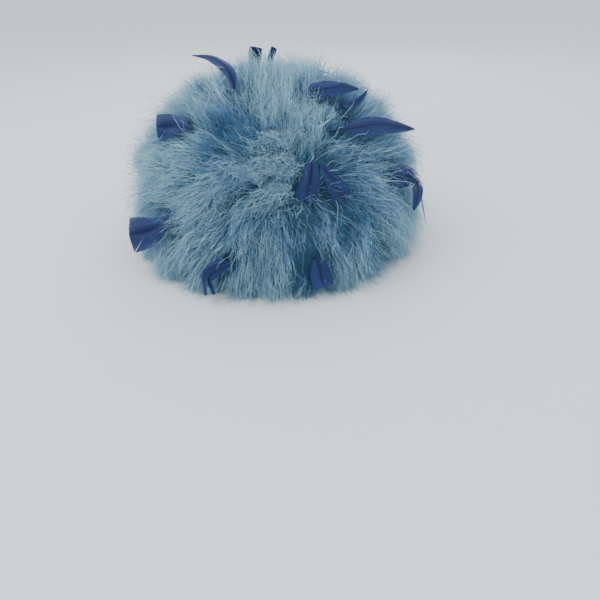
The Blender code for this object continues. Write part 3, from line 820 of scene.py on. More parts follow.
def grow_down(shape, plumes, clearing, settings, seed, kind):
    """One kind of barb: its corners, tips, variation, row and azimuth."""
    rng = np.random.default_rng(seed)
    made = KINDS[kind]
    way, azimuth = sow(shape, settings, kind, rng)
    count = len(way)
    surface = shape.point(azimuth, way, 1.0)
    mine = plumes.nearest(surface, rng)
    place, across = plumes.places(surface, mine)
    dome = plumes.dome(surface, mine)
    whorled = nearness(surface, WHORL, WHORL_RADIUS)
    parted = plumes.parted(surface)

    stray = np.stack([smooth_noise(surface, rng, SWIRL) for _ in range(3)], -1)
    flow = plumes.axes[mine] + 0.50 * across + 0.34 * stray * (1 + 2.5 * whorled[:, None])
    flow += DOWNWARDS * (0.35 * np.clip(1 - surface[:, 2:3] / 0.09, 0, 1))
    flow += rng.normal(size=(count, 3)) * (0.12 + 0.30 * made["wave"] + 0.5 * made["wave"] * whorled[:, None])
    lengths = settings.barb_length * rng.uniform(*made["length"], count) * (0.60 + 0.40 * dome)
    lengths *= (1 - 0.30 * smooth_step((place - 0.6) / 0.5)) * (1 - 0.35 * whorled) * (1 - 0.40 * parted)
    lift = rng.normal(made["lift"], 0.14, count)
    lay = rng.normal(made["lay"], 0.15, count)
    droop = made["droop"] + 0.55 * np.clip(1 - surface[:, 2] / HANG_BELOW, 0, 1) + rng.normal(0, 0.06, count)
    wave = made["wave"] * (1 + 2 * whorled[:, None])
    waves = [rng.normal(size=(count, 3)) * wave, rng.normal(size=(count, 3)) * wave * 1.3]
    roots = shape.point(azimuth, way, rng.uniform(*made["root"], count))
    lines = grow(shape, roots, flow, lengths, lift, lay, droop, waves, made["rings"])
    lines, lock = clump(lines, settings.lock_size, made["lock"], rng)

    fullness = plumes.dome(lines, np.repeat(mine[:, None], lines.shape[1], 1))
    depth = settings.parting_depth
    allowance = fullness * (depth + plumes.rises[mine][:, None]) - depth
    allowance = allowance - LOWEST_LIE - PARTED_LIE * plumes.parted(lines)
    ends = np.linspace(0, 1.5, lines.shape[1]) ** 1.6
    allowance += rng.exponential(abs(made["proud"]), count)[:, None] * np.sign(made["proud"]) * ends
    allowance = clearing.lowered(lines, allowance, rng)
    lines = settle(shape, lines, allowance, settings.barb_radius * 3)
    dropped = inside_crown(lines) | (shape.excess(lines).max(axis=1) > FARTHEST_OUT)
    dropped |= clearing.covered(lines) & (rng.random(count) < CLEAR_SHARE)

    # Painted shade: barbs are darker towards their plume's edges, between the plumes, and much darker in the
    # partings; the plumes' own tones also carry painted light.
    tone = rng.normal(made["tone"], made["spread"], count) + plumes.tones[mine] + 0.36 * (dome - 0.45)
    tone = tone - 0.75 * parted
    tone += 0.48 * whorled
    tone += shared_noise(rng, lock, 0.05) - 0.10 * (surface[:, 2] / shape.height - 0.60)
    taper = np.interp(np.linspace(0, 1, made["rings"] + 1)[:-1], [0, 0.25, 0.6, 1], [0.8, 1.0, 0.8, 0.35])
    radii = settings.barb_radius * made["radius"] * rng.uniform(0.8, 1.2, count)[:, None] * taper[None, :]
    row = np.clip((way * ROWS).astype(int), 0, ROWS - 1)
    grown = (round_corners(lines, radii), lines[:, -1], np.clip(tone, 0, 1), row, azimuth)
    return tuple(part[~dropped] for part in grown)


# ---------------------------------------------------------------- accent feathers

# Each accent feather: its width in mm, the share of its length at which it is that wide, its tip's share of
# that width, the parting that it comes from, counted up from the lowest, with its azimuth there, and its
# midrib's points: azimuth, way from the down's foot to its top, and stand-off in mm
ACCENTS = {
    "01a": (7, 0.3, 0.55, (1, -18), [(-17, 0.140, 1.5), (-21.5, 0.130, 6), (-24.5, 0.092, 9.5),
                                     (-22, 0.050, 22)]),
    "01b": (7, 0.3, 0.50, (1, -14), [(-16, 0.137, 1.5), (-20.5, 0.110, 5), (-23, 0.082, 9),
                                     (-20, 0.046, 18)]),
    "02a": (30, 1.0, 1.00, (2, -42), [(-44, 0.235, 1.5), (-49, 0.190, 9), (-55, 0.166, 20)]),
    "03a": (23, 0.9, 1.00, (4, -46), [(-47, 0.560, 1.5), (-55, 0.544, 6), (-59, 0.512, 12)]),
    "04a": (10, 0.4, 0.10, (5, -30), [(-34.5, 0.771, 7.5), (-45.5, 0.795, 15), (-76, 0.793, 20),
                                      (-98, 0.730, 25)]),
    "04b": (20, 0.5, 0.60, (5, -34), [(-36, 0.727, -2), (-57, 0.759, 0.5), (-92, 0.735, 3)]),
    "05a": (13, 0.5, 0.90, (6, -147), [(-147, 0.870, 4), (-149, 0.890, 18)]),
    "05b": (7, 0.5, 0.85, (6, -173), [(-173, 0.885, 4), (-186, 0.900, 17)]),
    "06a": (18, 0.45, 0.10, (5, 21), [(21, 0.730, 1.5), (38, 0.725, 5.5), (50, 0.692, 9.5),
                                      (60.5, 0.654, 11.5)]),
    "06b": (9, 0.5, 0.10, (4, 46), [(46.5, 0.655, 1.5), (50, 0.629, 5.5), (56, 0.624, 10.5),
                                    (61, 0.629, 15)]),
    "07a": (17, 0.4, 0.05, (4, 30), [(32, 0.558, 1.5), (41, 0.538, 6), (50, 0.522, 10.5), (57.5, 0.491, 14.5),
                                     (70, 0.439, 19.5)]),
    "08a": (19, 0.4, 0.12, (2, 50), [(52.5, 0.340, 1.5), (60.5, 0.324, 6), (62, 0.292, 11), (57.5, 0.261, 14),
                                     (52, 0.229, 15)]),
    "08b": (6, 0.4, 0.08, (2, 77), [(77, 0.263, 2), (68.5, 0.249, 9), (64, 0.207, 13), (66.5, 0.125, 16)]),
    "09a": (18, 1.0, 1.00, (3, 14), [(15, 0.460, 2.5), (13.5, 0.406, 3), (11, 0.345, -3)]),
    "09b": (18, 1.0, 1.00, (3, 18), [(18.5, 0.450, 2.5), (22, 0.390, 3), (27, 0.320, -3)]),
    "10a": (17, 0.7, 1.00, (1, 13), [(13.5, 0.150, 1.5), (14.5, 0.100, 5.5), (15, 0.056, 11.5)]),
    "11a": (22, 1.0, 1.00, (2, 128), [(132, 0.245, 4), (138, 0.200, 11), (146, 0.150, 18)]),
    "12a": (16, 0.4, 0.05, (4, 140), [(152, 0.545, 6), (163, 0.530, 11), (174, 0.495, 15), (184, 0.450, 18)]),
    "13a": (7, 0.3, 0.55, (1, 168), [(164, 0.130, 6), (161, 0.090, 9.5), (162, 0.055, 14.5)]),
    "13b": (7, 0.3, 0.50, (1, 173), [(169, 0.110, 5), (167, 0.080, 8), (168, 0.050, 12.5)]),
    "14a": (16, 1.0, 1.00, (3, -166), [(-167, 0.400, 5), (-168, 0.360, 5)]),
    "14b": (16, 1.0, 1.00, (3, -160), [(-157, 0.380, 6), (-153, 0.325, 5)]),
    "15a": (15, 0.4, 0.12, (2, -122), [(-128, 0.310, 4), (-134, 0.300, 10), (-130, 0.260, 13),
                                       (-124, 0.230, 14)]),
    "15b": (6, 0.4, 0.08, (2, -96), [(-101, 0.260, 5), (-107, 0.205, 9.5), (-105, 0.125, 12)]),
    "16a": (16, 0.45, 0.10, (5, -118), [(-135, 0.725, 6), (-147, 0.690, 9.5), (-158, 0.655, 11.5)]),
    "17a": (10, 0.4, 0.12, (5, 150), [(147, 0.730, 4), (141, 0.690, 7), (135, 0.640, 8)]),
}
VEILED = {"04b", "05a", "05b", "09a", "09b"}  # the down grows over these
ROW_SURFACE = (0.252, 0.260, 0.146)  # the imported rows' width, length and height, which the accents stand on
# How far some accents are turned from lying flat on the down towards facing the front
TURNED = {"04a": 0.5, "06b": 0.6, "07a": 0.6, "08a": 0.7, "02a": 0.8, "03a": 0.8, "06a": 0.8,
          "05a": 0.9, "05b": 0.9}
FORWARDS = np.array([-0.02, -0.84, 0.54])
SEAT_DEPTH = -4.0  # of a shaft's foot in its parting, in millimetres
MIDRIB_POINTS = 61
BARE_FOOT = 0.08  # the share of its length that a shaft stands bare at its foot
BLADE_TAPERS_AT = 0.40
BLADE_CAMBER = 0.22
BARB_RUN = 0.30  # the share of a blade's length that its barbs may run forward
BARB_BEND = 0.35  # how much further forward a barb runs at the edge than its slant takes it
BARB_SPLITS = 0.04  # the chance that a barb parts from the one behind it
BARB_WIDTH = 0.65  # of a barb's half width against the step to the next, so that they overlap
VANE_THICKNESS = 0.00012
QUILL_RADIUS = 0.00045
QUILL_RINGS = 14
QUILL_TONE = 0.02


def smoothed(points, count):
    """A smooth curve through the points, as count points the same distance apart."""
    ends = np.array([2 * points[0] - points[1], *points, 2 * points[-1] - points[-2]])
    fine = []
    for a, b, c, d in zip(ends, ends[1:], ends[2:], ends[3:]):
        t = np.linspace(0, 1, 24, endpoint=False)[:, None]
        square = (2 * a - 5 * b + 4 * c - d) * t**2
        fine.append(0.5 * (2 * b + (c - a) * t + square + (3 * b - a - 3 * c + d) * t**3))
    fine = np.concatenate([*fine, points[-1:]])
    steps = np.r_[0.0, np.cumsum(np.linalg.norm(np.diff(fine, axis=0), axis=1))]
    even = np.linspace(0.0, steps[-1], count)
    return np.stack([np.interp(even, steps, fine[:, k]) for k in range(3)], -1)


class Blade:
    """One accent feather's vane: its midrib, the directions across and out of it, and its outline."""

    def __init__(self, shape, made, turned):
        width, self.full_at, self.tip, (parting, azimuth), midrib = made
        seats = [(azimuth, parting / ROWS, SEAT_DEPTH), *midrib]
        points, outs = [], []
        for degrees, way, stand_off in seats:
            point = shape.point(math.radians(degrees), way, 1.0)
            out = shape.outward(point)
            points.append(point + out * stand_off / 1000)
            outs.append(out)
        self.midrib = smoothed(np.array(points), MIDRIB_POINTS)
        seat = np.linspace(0, len(seats) - 1, MIDRIB_POINTS)
        out = np.stack([np.interp(seat, range(len(seats)), np.array(outs)[:, k]) for k in range(3)], -1)
        along = unit(np.gradient(self.midrib, axis=0))
        out = out + turned * (FORWARDS - out) * np.linspace(0.3, 1, MIDRIB_POINTS)[:, None]
        self.side = unit(np.cross(along, out))
        self.out = np.cross(self.side, along)
        self.length = np.linalg.norm(np.diff(self.midrib, axis=0), axis=1).sum()
        self.half = width / 2000

    def at(self, values, way):
        """Values along the midrib, read at ways from 0 at its foot to 1 at its tip."""
        ways = np.linspace(0, 1, MIDRIB_POINTS)
        return np.stack([np.interp(way, ways, values[:, k]) for k in range(3)], -1)

    def half_width(self, way):
        swell = np.sin(math.pi / 2 * np.clip((way - BARE_FOOT) / (self.full_at - BARE_FOOT), 0, 1))
        past = np.clip((way - BLADE_TAPERS_AT) / (1 - BLADE_TAPERS_AT), 0, None)
        return self.half * np.clip(swell * (1 - (1 - self.tip) * past**1.6), 0, 1)

    def barbs(self, settings, side, rng):
        """The barbs of one side of the vane, as a batch of flat strands."""
        count = int(self.length / settings.barb_step)
        foot = np.linspace(BARE_FOOT, 0.995, count)
        group = np.cumsum(rng.random(count) < BARB_SPLITS)
        lean = shared_noise(rng, group, 0.03) + rng.normal(0, 0.006, count)
        steepest = math.atan((1 + BARB_BEND) * self.half / (BARB_RUN * self.length))
        slant = np.maximum(settings.barb_slant * (1.25 - 0.45 * foot), steepest) + lean

        def ahead(across):
            """How far along the blade the barbs are, these distances out across it."""
            run = across / np.tan(slant)[:, None] * (1 + BARB_BEND * across / self.half)
            return foot[:, None] + run / self.length

        reach = np.linspace(0, self.half * 1.05, 40)[None, :]
        inside = (ahead(reach) <= 1.0) & (reach <= self.half_width(ahead(reach)))
        last = np.maximum(inside.cumprod(axis=1).sum(axis=1) - 1, 1)
        ragged = 1 - np.abs(rng.normal(0, 0.012, count)) - 0.07 * (rng.random(count) < 0.02)
        across = reach[0, last][:, None] * ragged[:, None] * np.array([[0.0, 0.5, 0.95, 1.0]])
        way = np.clip(ahead(across), 0, 1)
        edge = across / self.half
        curl = -BLADE_CAMBER * self.half * edge**2 + shared_noise(rng, group, 0.00015)[:, None] * edge
        out = self.at(self.out, way)
        lines = self.at(self.midrib, way) + self.at(self.side, way) * (side * across)[..., None]
        lines = lines + out * curl[..., None]
        half_widths = settings.barb_step * BARB_WIDTH * np.sin(slant)[:, None] * np.array([1.0, 1.0, 0.85])
        tone = 0.5 + shared_noise(rng, group, 0.13) + rng.normal(0, 0.07, count)
        return flat_corners(lines, out, half_widths, VANE_THICKNESS), lines[:, -1], tone

    def quill(self):
        """The shaft, from the parting to the tip, as a batch of one strand."""
        way = np.linspace(0, 0.985, QUILL_RINGS + 1)
        lines = (self.at(self.midrib, way) + self.at(self.out, way) * 0.0001)[None]
        radii = QUILL_RADIUS * (1 - 0.75 * way[:-1])[None]
        return round_corners(lines, radii), lines[:, -1], np.array([QUILL_TONE])


CLEAR_SHARE = 0.98  # of the barbs that would cross a blade are left out
CLEAR_ROUND = 0.002  # how far beside a blade no barb may cross over it
CLEAR_UNDER = 0.003
HEED_SHARE = 0.97  # of the barbs near a blade lie down under it
HEED_ROUND = 0.006
HEED_UNDER = 0.0025
BLADE_SAMPLES = 26  # points along a blade that the down is kept clear of, in three lines


class Clearing:
    """Keeps most of the down from growing over the accent feathers."""

    def __init__(self, shape, blades):
        self.shape = shape
        way = np.linspace(0.03, 1.0, BLADE_SAMPLES)
        points, halves = [], []
        for blade in blades:
            for shift in (-0.6, 0.0, 0.6):
                across = blade.at(blade.side, way) * (shift * blade.half_width(way))[:, None]
                points.append(blade.at(blade.midrib, way) + across)
                halves.append(blade.half_width(way) * 0.6 + 0.0025)
        self.halves = np.concatenate(halves)
        points = np.concatenate(points)
        self.stands = shape.excess(points)
        self.tree = KDTree(len(points))
        for k, point in enumerate(points):
            self.tree.insert(point, k)
        self.tree.balance()

    def lowered(self, lines, allowance, rng):
        """The allowance, lowered where a strand would cover a blade."""
        lowered = allowance.copy()
        for i in np.flatnonzero(rng.random(len(lines)) < HEED_SHARE):
            for j in range(1, lines.shape[1]):
                _, k, gap = self.tree.find(lines[i, j])
                if gap < self.halves[k] + HEED_ROUND:
                    lowered[i, j] = min(lowered[i, j], self.stands[k] - HEED_UNDER)
        return lowered

    def covered(self, lines):
        """Which strands still cross in front of a blade."""
        middles = (lines[:, 1:] + lines[:, :-1]) / 2
        points = np.concatenate([lines[:, 1:], middles], axis=1)
        above = self.shape.excess(points)
        crossing = np.zeros(len(lines), bool)
        for i in range(len(lines)):
            for point, height in zip(points[i], above[i]):
                _, k, gap = self.tree.find(point)
                if gap < self.halves[k] + CLEAR_ROUND and height > self.stands[k] - CLEAR_UNDER:
                    crossing[i] = True
                    break
        return crossing


SHAFT_DRAWS = 40  # places tried for each plume shaft
SHAFT_RINGS = 7
SHAFT_REACH = 0.035  # how far round the whorl most of them stand


def plume_shafts(shape, plumes, settings, rng):
    """Bare curved shafts that show in the down, most of them by the whorl, as a batch of strands."""
    draw = settings.shafts * SHAFT_DRAWS
    ways, azimuths = rng.choice(shape.ways[4:-4], draw), rng.uniform(0, math.tau, draw)
    surface = shape.point(azimuths, ways, 1.0)
    chance = 0.02 + 0.6 * nearness(surface, WHORL, SHAFT_REACH)
    chosen = np.flatnonzero(rng.random(draw) < chance)[: settings.shafts]
    ways, azimuths, surface = ways[chosen], azimuths[chosen], surface[chosen]
    count = len(chosen)
    mine = plumes.nearest(surface, rng)
    flow = plumes.axes[mine] + rng.normal(size=(count, 3)) * 0.7
    waves = [rng.normal(size=(count, 3)), rng.normal(size=(count, 3))]
    roots = shape.point(azimuths, ways, rng.uniform(0.60, 0.85, count))
    lengths = rng.uniform(0.014, 0.036, count)
    lift, lay = rng.normal(0.7, 0.2, count), rng.normal(1.5, 0.2, count)
    lines = grow(shape, roots, flow, lengths, lift, lay, np.full(count, 0.1), waves, SHAFT_RINGS)
    lines = settle(shape, lines, np.full(lines.shape[:2], 0.002), 0.001)
    radii = rng.uniform(0.00013, 0.00024, count)[:, None] * np.linspace(1, 0.4, SHAFT_RINGS)[None, :]
    return round_corners(lines, radii), lines[:, -1], rng.random(count)


# ---------------------------------------------------------------- trims

OVAL = 0.164 / 0.196  # the head opening's width against its length
RIBBON_RADIUS = 0.09  # of the ribbon rings, for spacing their ribs
LINING_HALF_LENGTH = 0.0991  # at the foot, a little inside the crown
LINING_TOP = 0.1000
SATIN_THICKNESS = 0.0005
SWEATBAND_GAP = 0.0009  # from the lining's outer face to the ribbon's
SWEATBAND_THICKNESS = 0.0008
SEAM_GAP = 0.0010  # between the ends of the sweatband, at the back
CLEARANCE = 0.0001
BINDING_FOLD = 0.0051  # across the folded edge, wires and all
BINDING_TAPE = 0.0006
BINDING_CORNER = 0.0010
RIBBON_RINGS = 6  # rows of faces across a bow's ribbon
RIBBON_THICKNESS = 0.00028
STITCH_RADIUS = 0.00014
STITCH_RINGS = 5


def select_only(piece):
    bpy.ops.object.select_all(action="DESELECT")
    piece.select_set(True)
    bpy.context.view_layer.objects.active = piece


@contextlib.contextmanager
def editing():
    """Edit mode, with the whole of the active piece selected."""
    bpy.ops.object.mode_set(mode="EDIT")
    bpy.ops.mesh.select_all(action="SELECT")
    yield
    bpy.ops.object.mode_set(mode="OBJECT")


def circle(name, count, radius, height=0.0):
    """A ring of points, to extrude a piece from."""
    bpy.ops.object.select_all(action="DESELECT")
    bpy.ops.mesh.primitive_circle_add(vertices=count, radius=radius, location=(0.0, 0.0, height))
    bpy.ops.object.transform_apply(location=True, rotation=True, scale=True)
    piece = bpy.context.active_object
    piece.name = piece.data.name = name
    return piece


def lining_point(height):
    """A (radius, height) point of the lining's section."""
    share = min(1.0, height / LINING_TOP)
    return LINING_HALF_LENGTH * max(0.0, 1 - share**CROWN_SQUARENESS) ** (1 / CROWN_SQUARENESS), height


def on_sweatband(height):
    """Where the sweatband's inner face stands at the back."""
    return lining_point(height)[0] - SWEATBAND_GAP - SWEATBAND_THICKNESS - CLEARANCE


def turned_sheet(name, profile, steps, closed=False):
    """A sheet turned about Z through (radius, height) points, narrowed to the head's oval: a circle, extruded
    upwards and resized for each point. A closed one has its last ring merged into a pole."""
    radius, height = profile[0]
    piece = circle(name, steps, radius, height)
    with editing():
        for next_radius, next_height in profile[1:]:
            rise = (0.0, 0.0, next_height - height)
            bpy.ops.mesh.extrude_region_move(TRANSFORM_OT_translate={"value": rise})
            next_radius = max(next_radius, 1e-5)
            ratio = next_radius / radius
            bpy.ops.transform.resize(value=(ratio, ratio, 1.0), center_override=(0.0, 0.0, next_height))
            radius, height = next_radius, next_height
        if closed:
            bpy.ops.mesh.merge(type="CENTER")
        bpy.ops.mesh.select_all(action="SELECT")
        bpy.ops.transform.resize(value=(OVAL, 1.0, 1.0), center_override=(0.0, 0.0, 0.0))
        bpy.ops.mesh.normals_make_consistent(inside=False)
    return piece


def turned_ring(name, profile, steps, gap=0.0):
    """A closed ring turned about Z through its section's (radius, height) points, with a gap at its back."""
    piece = turned_sheet(name, [*profile, profile[0]], steps)
    with editing():
        bpy.ops.mesh.remove_doubles(threshold=0.00001)
        bpy.ops.mesh.normals_make_consistent(inside=False)
    if gap:
        bpy.ops.mesh.primitive_cube_add(size=1.0, location=(0.0, max(r for r, _ in profile), profile[0][1]))
        cutter = bpy.context.active_object
        cutter.scale = (gap, 0.02, 0.2)
        cut = piece.modifiers.new("seam", "BOOLEAN")
        cut.operation, cut.solver, cut.object = "DIFFERENCE", "EXACT", cutter
        bpy.context.view_layer.objects.active = piece
        bpy.ops.object.modifier_apply(modifier="seam")
        bpy.data.objects.remove(cutter)
    return piece


def shape_gathers(piece, folds, depth, share):
    """Draws a sheet into folds round the hat. share(height) is how much of the depth they have there."""
    for vertex in piece.data.vertices:
        x, y, z = vertex.co
        angle = math.atan2(y, x)
        wander = 0.35 * math.sin(5 * angle) + 0.2 * math.sin(11 * angle + 1.0)
        fold = 0.5 + 0.5 * math.cos(folds * angle + wander)
        flattened = min(1.0, math.hypot(x, y) / 0.006)
        inward = Vector((-x, -y, -max(0.0, z - 0.05) * 2.5)).normalized()
        vertex.co += inward * (depth * fold * max(0.0, min(1.0, share(z))) * flattened)


def thicken(piece, thickness):
    """Gives a sheet its thickness, inwards."""
    body = piece.modifiers.new("thickness", "SOLIDIFY")
    body.thickness = thickness
    body.offset = -1.0
    select_only(piece)
    bpy.ops.object.modifier_apply(modifier="thickness")


def loop_belly(turn):
    """How full a bow loop is: more towards its outer end than by the knot."""
    return 0.75 + 0.25 * math.cos(turn)


def knot_belly(_):
    """A knot is as full all round."""
    return 1.0


def ribbon_loop(node, steps, across, depth, belly, pinch):
    """A closed loop of ribbon that stands on edge in its node's box, against the sweatband. across and depth
    are its half sizes as shares of the box. It is pinched to a share of its height near one x."""
    low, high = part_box(node)
    centre, box = (low + high) / 2, high - low
    where, share = pinch
    seat = on_sweatband(centre.z)
    path = []
    for k in range(steps):
        turn = math.tau * k / steps
        y = seat + box.y * depth * (math.sin(turn) * belly(turn) - 1)
        path.append((centre.x + box.x * across * math.cos(turn), y))
    reach = max(abs(x - where) for x, _ in path)
    piece = circle(f"{node}_ribbon", steps, 0.01)
    rise = 0.001
    with editing():
        for _ in range(RIBBON_RINGS):
            bpy.ops.mesh.extrude_region_move(TRANSFORM_OT_translate={"value": (0.0, 0.0, rise)})
    for vertex in piece.data.vertices:
        x, y = path[round(math.atan2(vertex.co.y, vertex.co.x) / math.tau * steps) % steps]
        full = share + (1 - share) * min(1.0, abs(x - where) / reach * 1.6)
        up = round(vertex.co.z / rise) / RIBBON_RINGS * 2 - 1
        cup = 0.00015 * (1 - up * up)
        vertex.co = (x, y + cup, centre.z + box.z / 2 * 0.96 * full * up)
    with editing():
        bpy.ops.mesh.normals_make_consistent(inside=False)
    thicken(piece, RIBBON_THICKNESS)
    return piece


def stitch_batch(radius, height, count):
    """Running stitches round the ribbon, as a batch of short strands that dip into it at their ends."""
    t = np.linspace(0, 1, STITCH_RINGS + 1)
    angle = (np.arange(count)[:, None] + 0.15 + 0.6 * t[None, :]) * (math.tau / count)
    inner = radius - 0.00022 * np.sin(math.pi * t)[None, :]
    lines = np.stack([inner * OVAL * np.cos(angle), inner * np.sin(angle), np.full(angle.shape, height)], -1)
    tone = (np.arange(count) * 0.618) % 1.0
    return round_corners(lines, np.full((count, STITCH_RINGS), STITCH_RADIUS)), lines[:, -1], tone


def finish_piece(piece, finish, slot, *replaced):
    """Gives a modelled piece its finish, shades it smooth and links it to the hat."""
    select_only(piece)
    bpy.ops.object.shade_smooth_by_angle(angle=math.radians(50))
    piece.data.materials.clear()
    piece.data.materials.append(finish)
    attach(piece, "root")
    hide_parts(*replaced)


# ---------------------------------------------------------------- underdown

UNDERDOWN_AROUND = 160
UNDERDOWN_RINGS = 60
UNDERDOWN_OUTER = 0.58  # its outer face's share of the way out from the crown to the down's surface
UNDERDOWN_INNER = 0.10
PATTERN_SEEDS = (1, 5)  # of the plumes' borders and the ripple


def underdown_ring(shape, plumes, azimuth, way, share):
    """One ring of the underdown's points. Those of its outer face rise a little under each plume."""
    way = np.full(len(azimuth), way)
    if share == UNDERDOWN_OUTER:
        borders, ripples = (np.random.default_rng(seed) for seed in PATTERN_SEEDS)
        surface = shape.point(azimuth, way, 1.0)
        swell = plumes.dome(surface, plumes.nearest(surface, borders))
        share = share + 0.10 * swell + 0.03 * smooth_noise(surface, ripples, 0.012)
    return list(shape.point(azimuth, way, share))


def underdown_mesh(shape, plumes):
    """A closed bowl of matted down, with its rim at the hat's foot."""
    around, rings = UNDERDOWN_AROUND, UNDERDOWN_RINGS
    azimuth = np.linspace(0, math.tau, around, endpoint=False)
    after = [(k + 1) % around for k in range(around)]
    points, faces = [], []
    for share in (UNDERDOWN_OUTER, UNDERDOWN_INNER):
        base = len(points)
        for way in np.linspace(0.0, 1.0, rings + 1)[:-1]:
            points += underdown_ring(shape, plumes, azimuth, way, share)
        points.append(shape.point(np.array([0.0]), np.array([1.0]), share)[0])
        for ring in range(base, base + (rings - 1) * around, around):
            above = ring + around
            faces += [(ring + k, ring + after[k], above + after[k], above + k) for k in range(around)]
        top = base + rings * around
        faces += [(top - around + k, top - around + after[k], top) for k in range(around)]
    inner = rings * around + 1
    faces += [(k, after[k], inner + after[k], inner + k) for k in range(around)]
    mesh = bpy.data.meshes.new("underdown")
    mesh.from_pydata([tuple(point) for point in points], [], faces)
    solid = bmesh.new()
    solid.from_mesh(mesh)
    bmesh.ops.recalc_face_normals(solid, faces=solid.faces)
    for face in solid.faces:
        face.smooth = True
    solid.to_mesh(mesh)
    solid.free()
    return mesh


# ---------------------------------------------------------------- operators


def make_plumes(scene):
    settings = scene.toque_down
    shape = DownShape(settings.width, settings.length, settings.height)
    return shape, Plumes(shape)


def make_blades():
    rows = DownShape(*ROW_SURFACE)
    return {name: Blade(rows, made, TURNED.get(name, 0.0)) for name, made in ACCENTS.items()}


class TOQUE_OT_fabric(bpy.types.Operator):
    """Give the crown's hidden layers their cloth, wire and cord"""

    bl_idname = "toque.fabric"
    bl_label = "Crown fabric"

    def execute(self, context):
        buckram = cloth_finish("buckram", (0.58, 0.60, 0.57), 0.0016, roughness=0.9)
        cover = cloth_finish("cover_cloth", (0.12, 0.29, 0.42), 0.0007)
        finishes = {"crown_side_band": buckram, "crown_tip": buckram, "crown_cover": cover}
        wire = wire_finish()
        cord = cord_finish((0.30, 0.48, 0.60))
        finishes.update({name: wire for name in NODES if name.endswith("_wire")})
        finishes.update({name: cord for name in NODES if name.startswith("cord_")})
        for name, finish in finishes.items():
            NODES[name].data.materials.clear()
            NODES[name].data.materials.append(finish)
        return {"FINISHED"}


class TOQUE_OT_binding(bpy.types.Operator):
    """Fold the ribbed binding round the edge"""

    bl_idname = "toque.binding"
    bl_label = "Edge binding"

    def execute(self, context):
        _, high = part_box("edge_binding")
        outer, top = high.y, high.z
        inner = outer - BINDING_FOLD
        tape, corner, round_off = BINDING_TAPE, BINDING_CORNER, BINDING_CORNER * 0.3
        profile = [
            (outer - tape, top),
            (outer, top - tape / 2),
            (outer + CLEARANCE, top / 2),
            (outer, corner),
            (outer - round_off, round_off),
            (outer - corner, 0.0),
            (inner + corner, 0.0),
            (inner + round_off, round_off),
            (inner, corner),
            (inner - CLEARANCE, top / 2),
            (inner, top - tape / 2),
            (inner + tape, top),
            (inner + tape, corner + tape),
            (outer - tape, corner + tape),
        ]
        piece = turned_ring("edge_binding_tape", profile, 120)
        ribbon = grosgrain_finish("binding_tape", context.scene.toque_trims.ribbon)
        finish_piece(piece, ribbon, "binding_tape", "edge_binding")
        return {"FINISHED"}


class TOQUE_OT_lining(bpy.types.Operator):
    """Sew in the lining: a plain side and a gathered tip"""

    bl_idname = "toque.lining"
    bl_label = "Lining"

    def execute(self, context):
        settings = context.scene.toque_trims
        satin = satin_finish("lining_silk", settings.lining)
        low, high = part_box("lining_side")
        seam = high.z
        side = [lining_point(height) for height in np.linspace(low.z, seam, 14)]
        piece = turned_sheet("lining_side_satin", side, settings.pleats * 3)
        shape_gathers(piece, settings.pleats / 2, 0.0005, lambda z: (z - low.z) / (seam - low.z))
        thicken(piece, SATIN_THICKNESS)
        finish_piece(piece, satin, "lining_silk", "lining_side")

        _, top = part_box("lining_tip")
        heights = seam + (top.z - 0.0006 - seam) * np.sin(np.linspace(0.02, math.pi / 2, 16) * 0.985)
        tip = [lining_point(height) for height in heights]
        piece = turned_sheet("lining_tip_satin", tip, settings.pleats * 6, closed=True)
        shape_gathers(piece, settings.pleats, 0.0011, lambda z: (z - seam) / (top.z - seam) * 0.8 + 0.2)
        thicken(piece, SATIN_THICKNESS)
        finish_piece(piece, satin, "lining_silk", "lining_tip")
        return {"FINISHED"}


class TOQUE_OT_sweatband(bpy.types.Operator):
    """Sew in the ribbon that meets the head, with its stitches"""

    bl_idname = "toque.sweatband"
    bl_label = "Sweatband"

    def execute(self, context):
        settings = context.scene.toque_trims
        low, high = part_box("sweatband")
        middle = (low.z + high.z) / 2
        foot, belly, rim = (lining_point(height)[0] - SWEATBAND_GAP for height in (low.z, middle, high.z))
        thick, curl = SWEATBAND_THICKNESS, 0.0005
        profile = [
            (foot - thick, low.z + curl),
            (foot - thick / 2, low.z),
            (foot, low.z + curl),
            (belly, middle),
            (rim, high.z - curl),
            (rim - thick / 2, high.z),
            (rim - thick, high.z - curl),
            (belly - thick, middle),
        ]
        ribbon = grosgrain_finish("sweat_ribbon", settings.ribbon)
        piece = turned_ring("sweatband_ribbon", profile, 160, gap=SEAM_GAP)
        finish_piece(piece, ribbon, "sweat_ribbon", "sweatband")
        batch = stitch_batch(foot - thick - CLEARANCE, low.z + 0.0022, settings.stitches)
        add_piece("sweatband_stitches", [batch], thread_finish(), "sweat_ribbon")
        return {"FINISHED"}


class TOQUE_OT_bow(bpy.types.Operator):
    """Tie the flat bow over the sweatband's seam"""

    bl_idname = "toque.bow"
    bl_label = "Sweatband bow"

    def execute(self, context):
        ribbon = grosgrain_finish("bow_ribbon", context.scene.toque_trims.ribbon, rib=0.0008)
        knot_low, knot_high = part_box("bow_knot")
        knot_x = (knot_low.x + knot_high.x) / 2
        left_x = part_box("bow_loop_left")[0].x
        right_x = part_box("bow_loop_right")[1].x
        for node, steps, across, depth, belly, pinch in (
            ("bow_loop_left", 22, 0.44, 0.40, loop_belly, (left_x, 0.55)),
            ("bow_loop_right", 22, -0.44, 0.40, loop_belly, (right_x, 0.55)),
            ("bow_knot", 18, 0.44, 0.42, knot_belly, (knot_x, 0.95)),
        ):
            piece = ribbon_loop(node, steps, across, depth, belly, pinch)
            finish_piece(piece, ribbon, "sweat_ribbon", node)
        return {"FINISHED"}


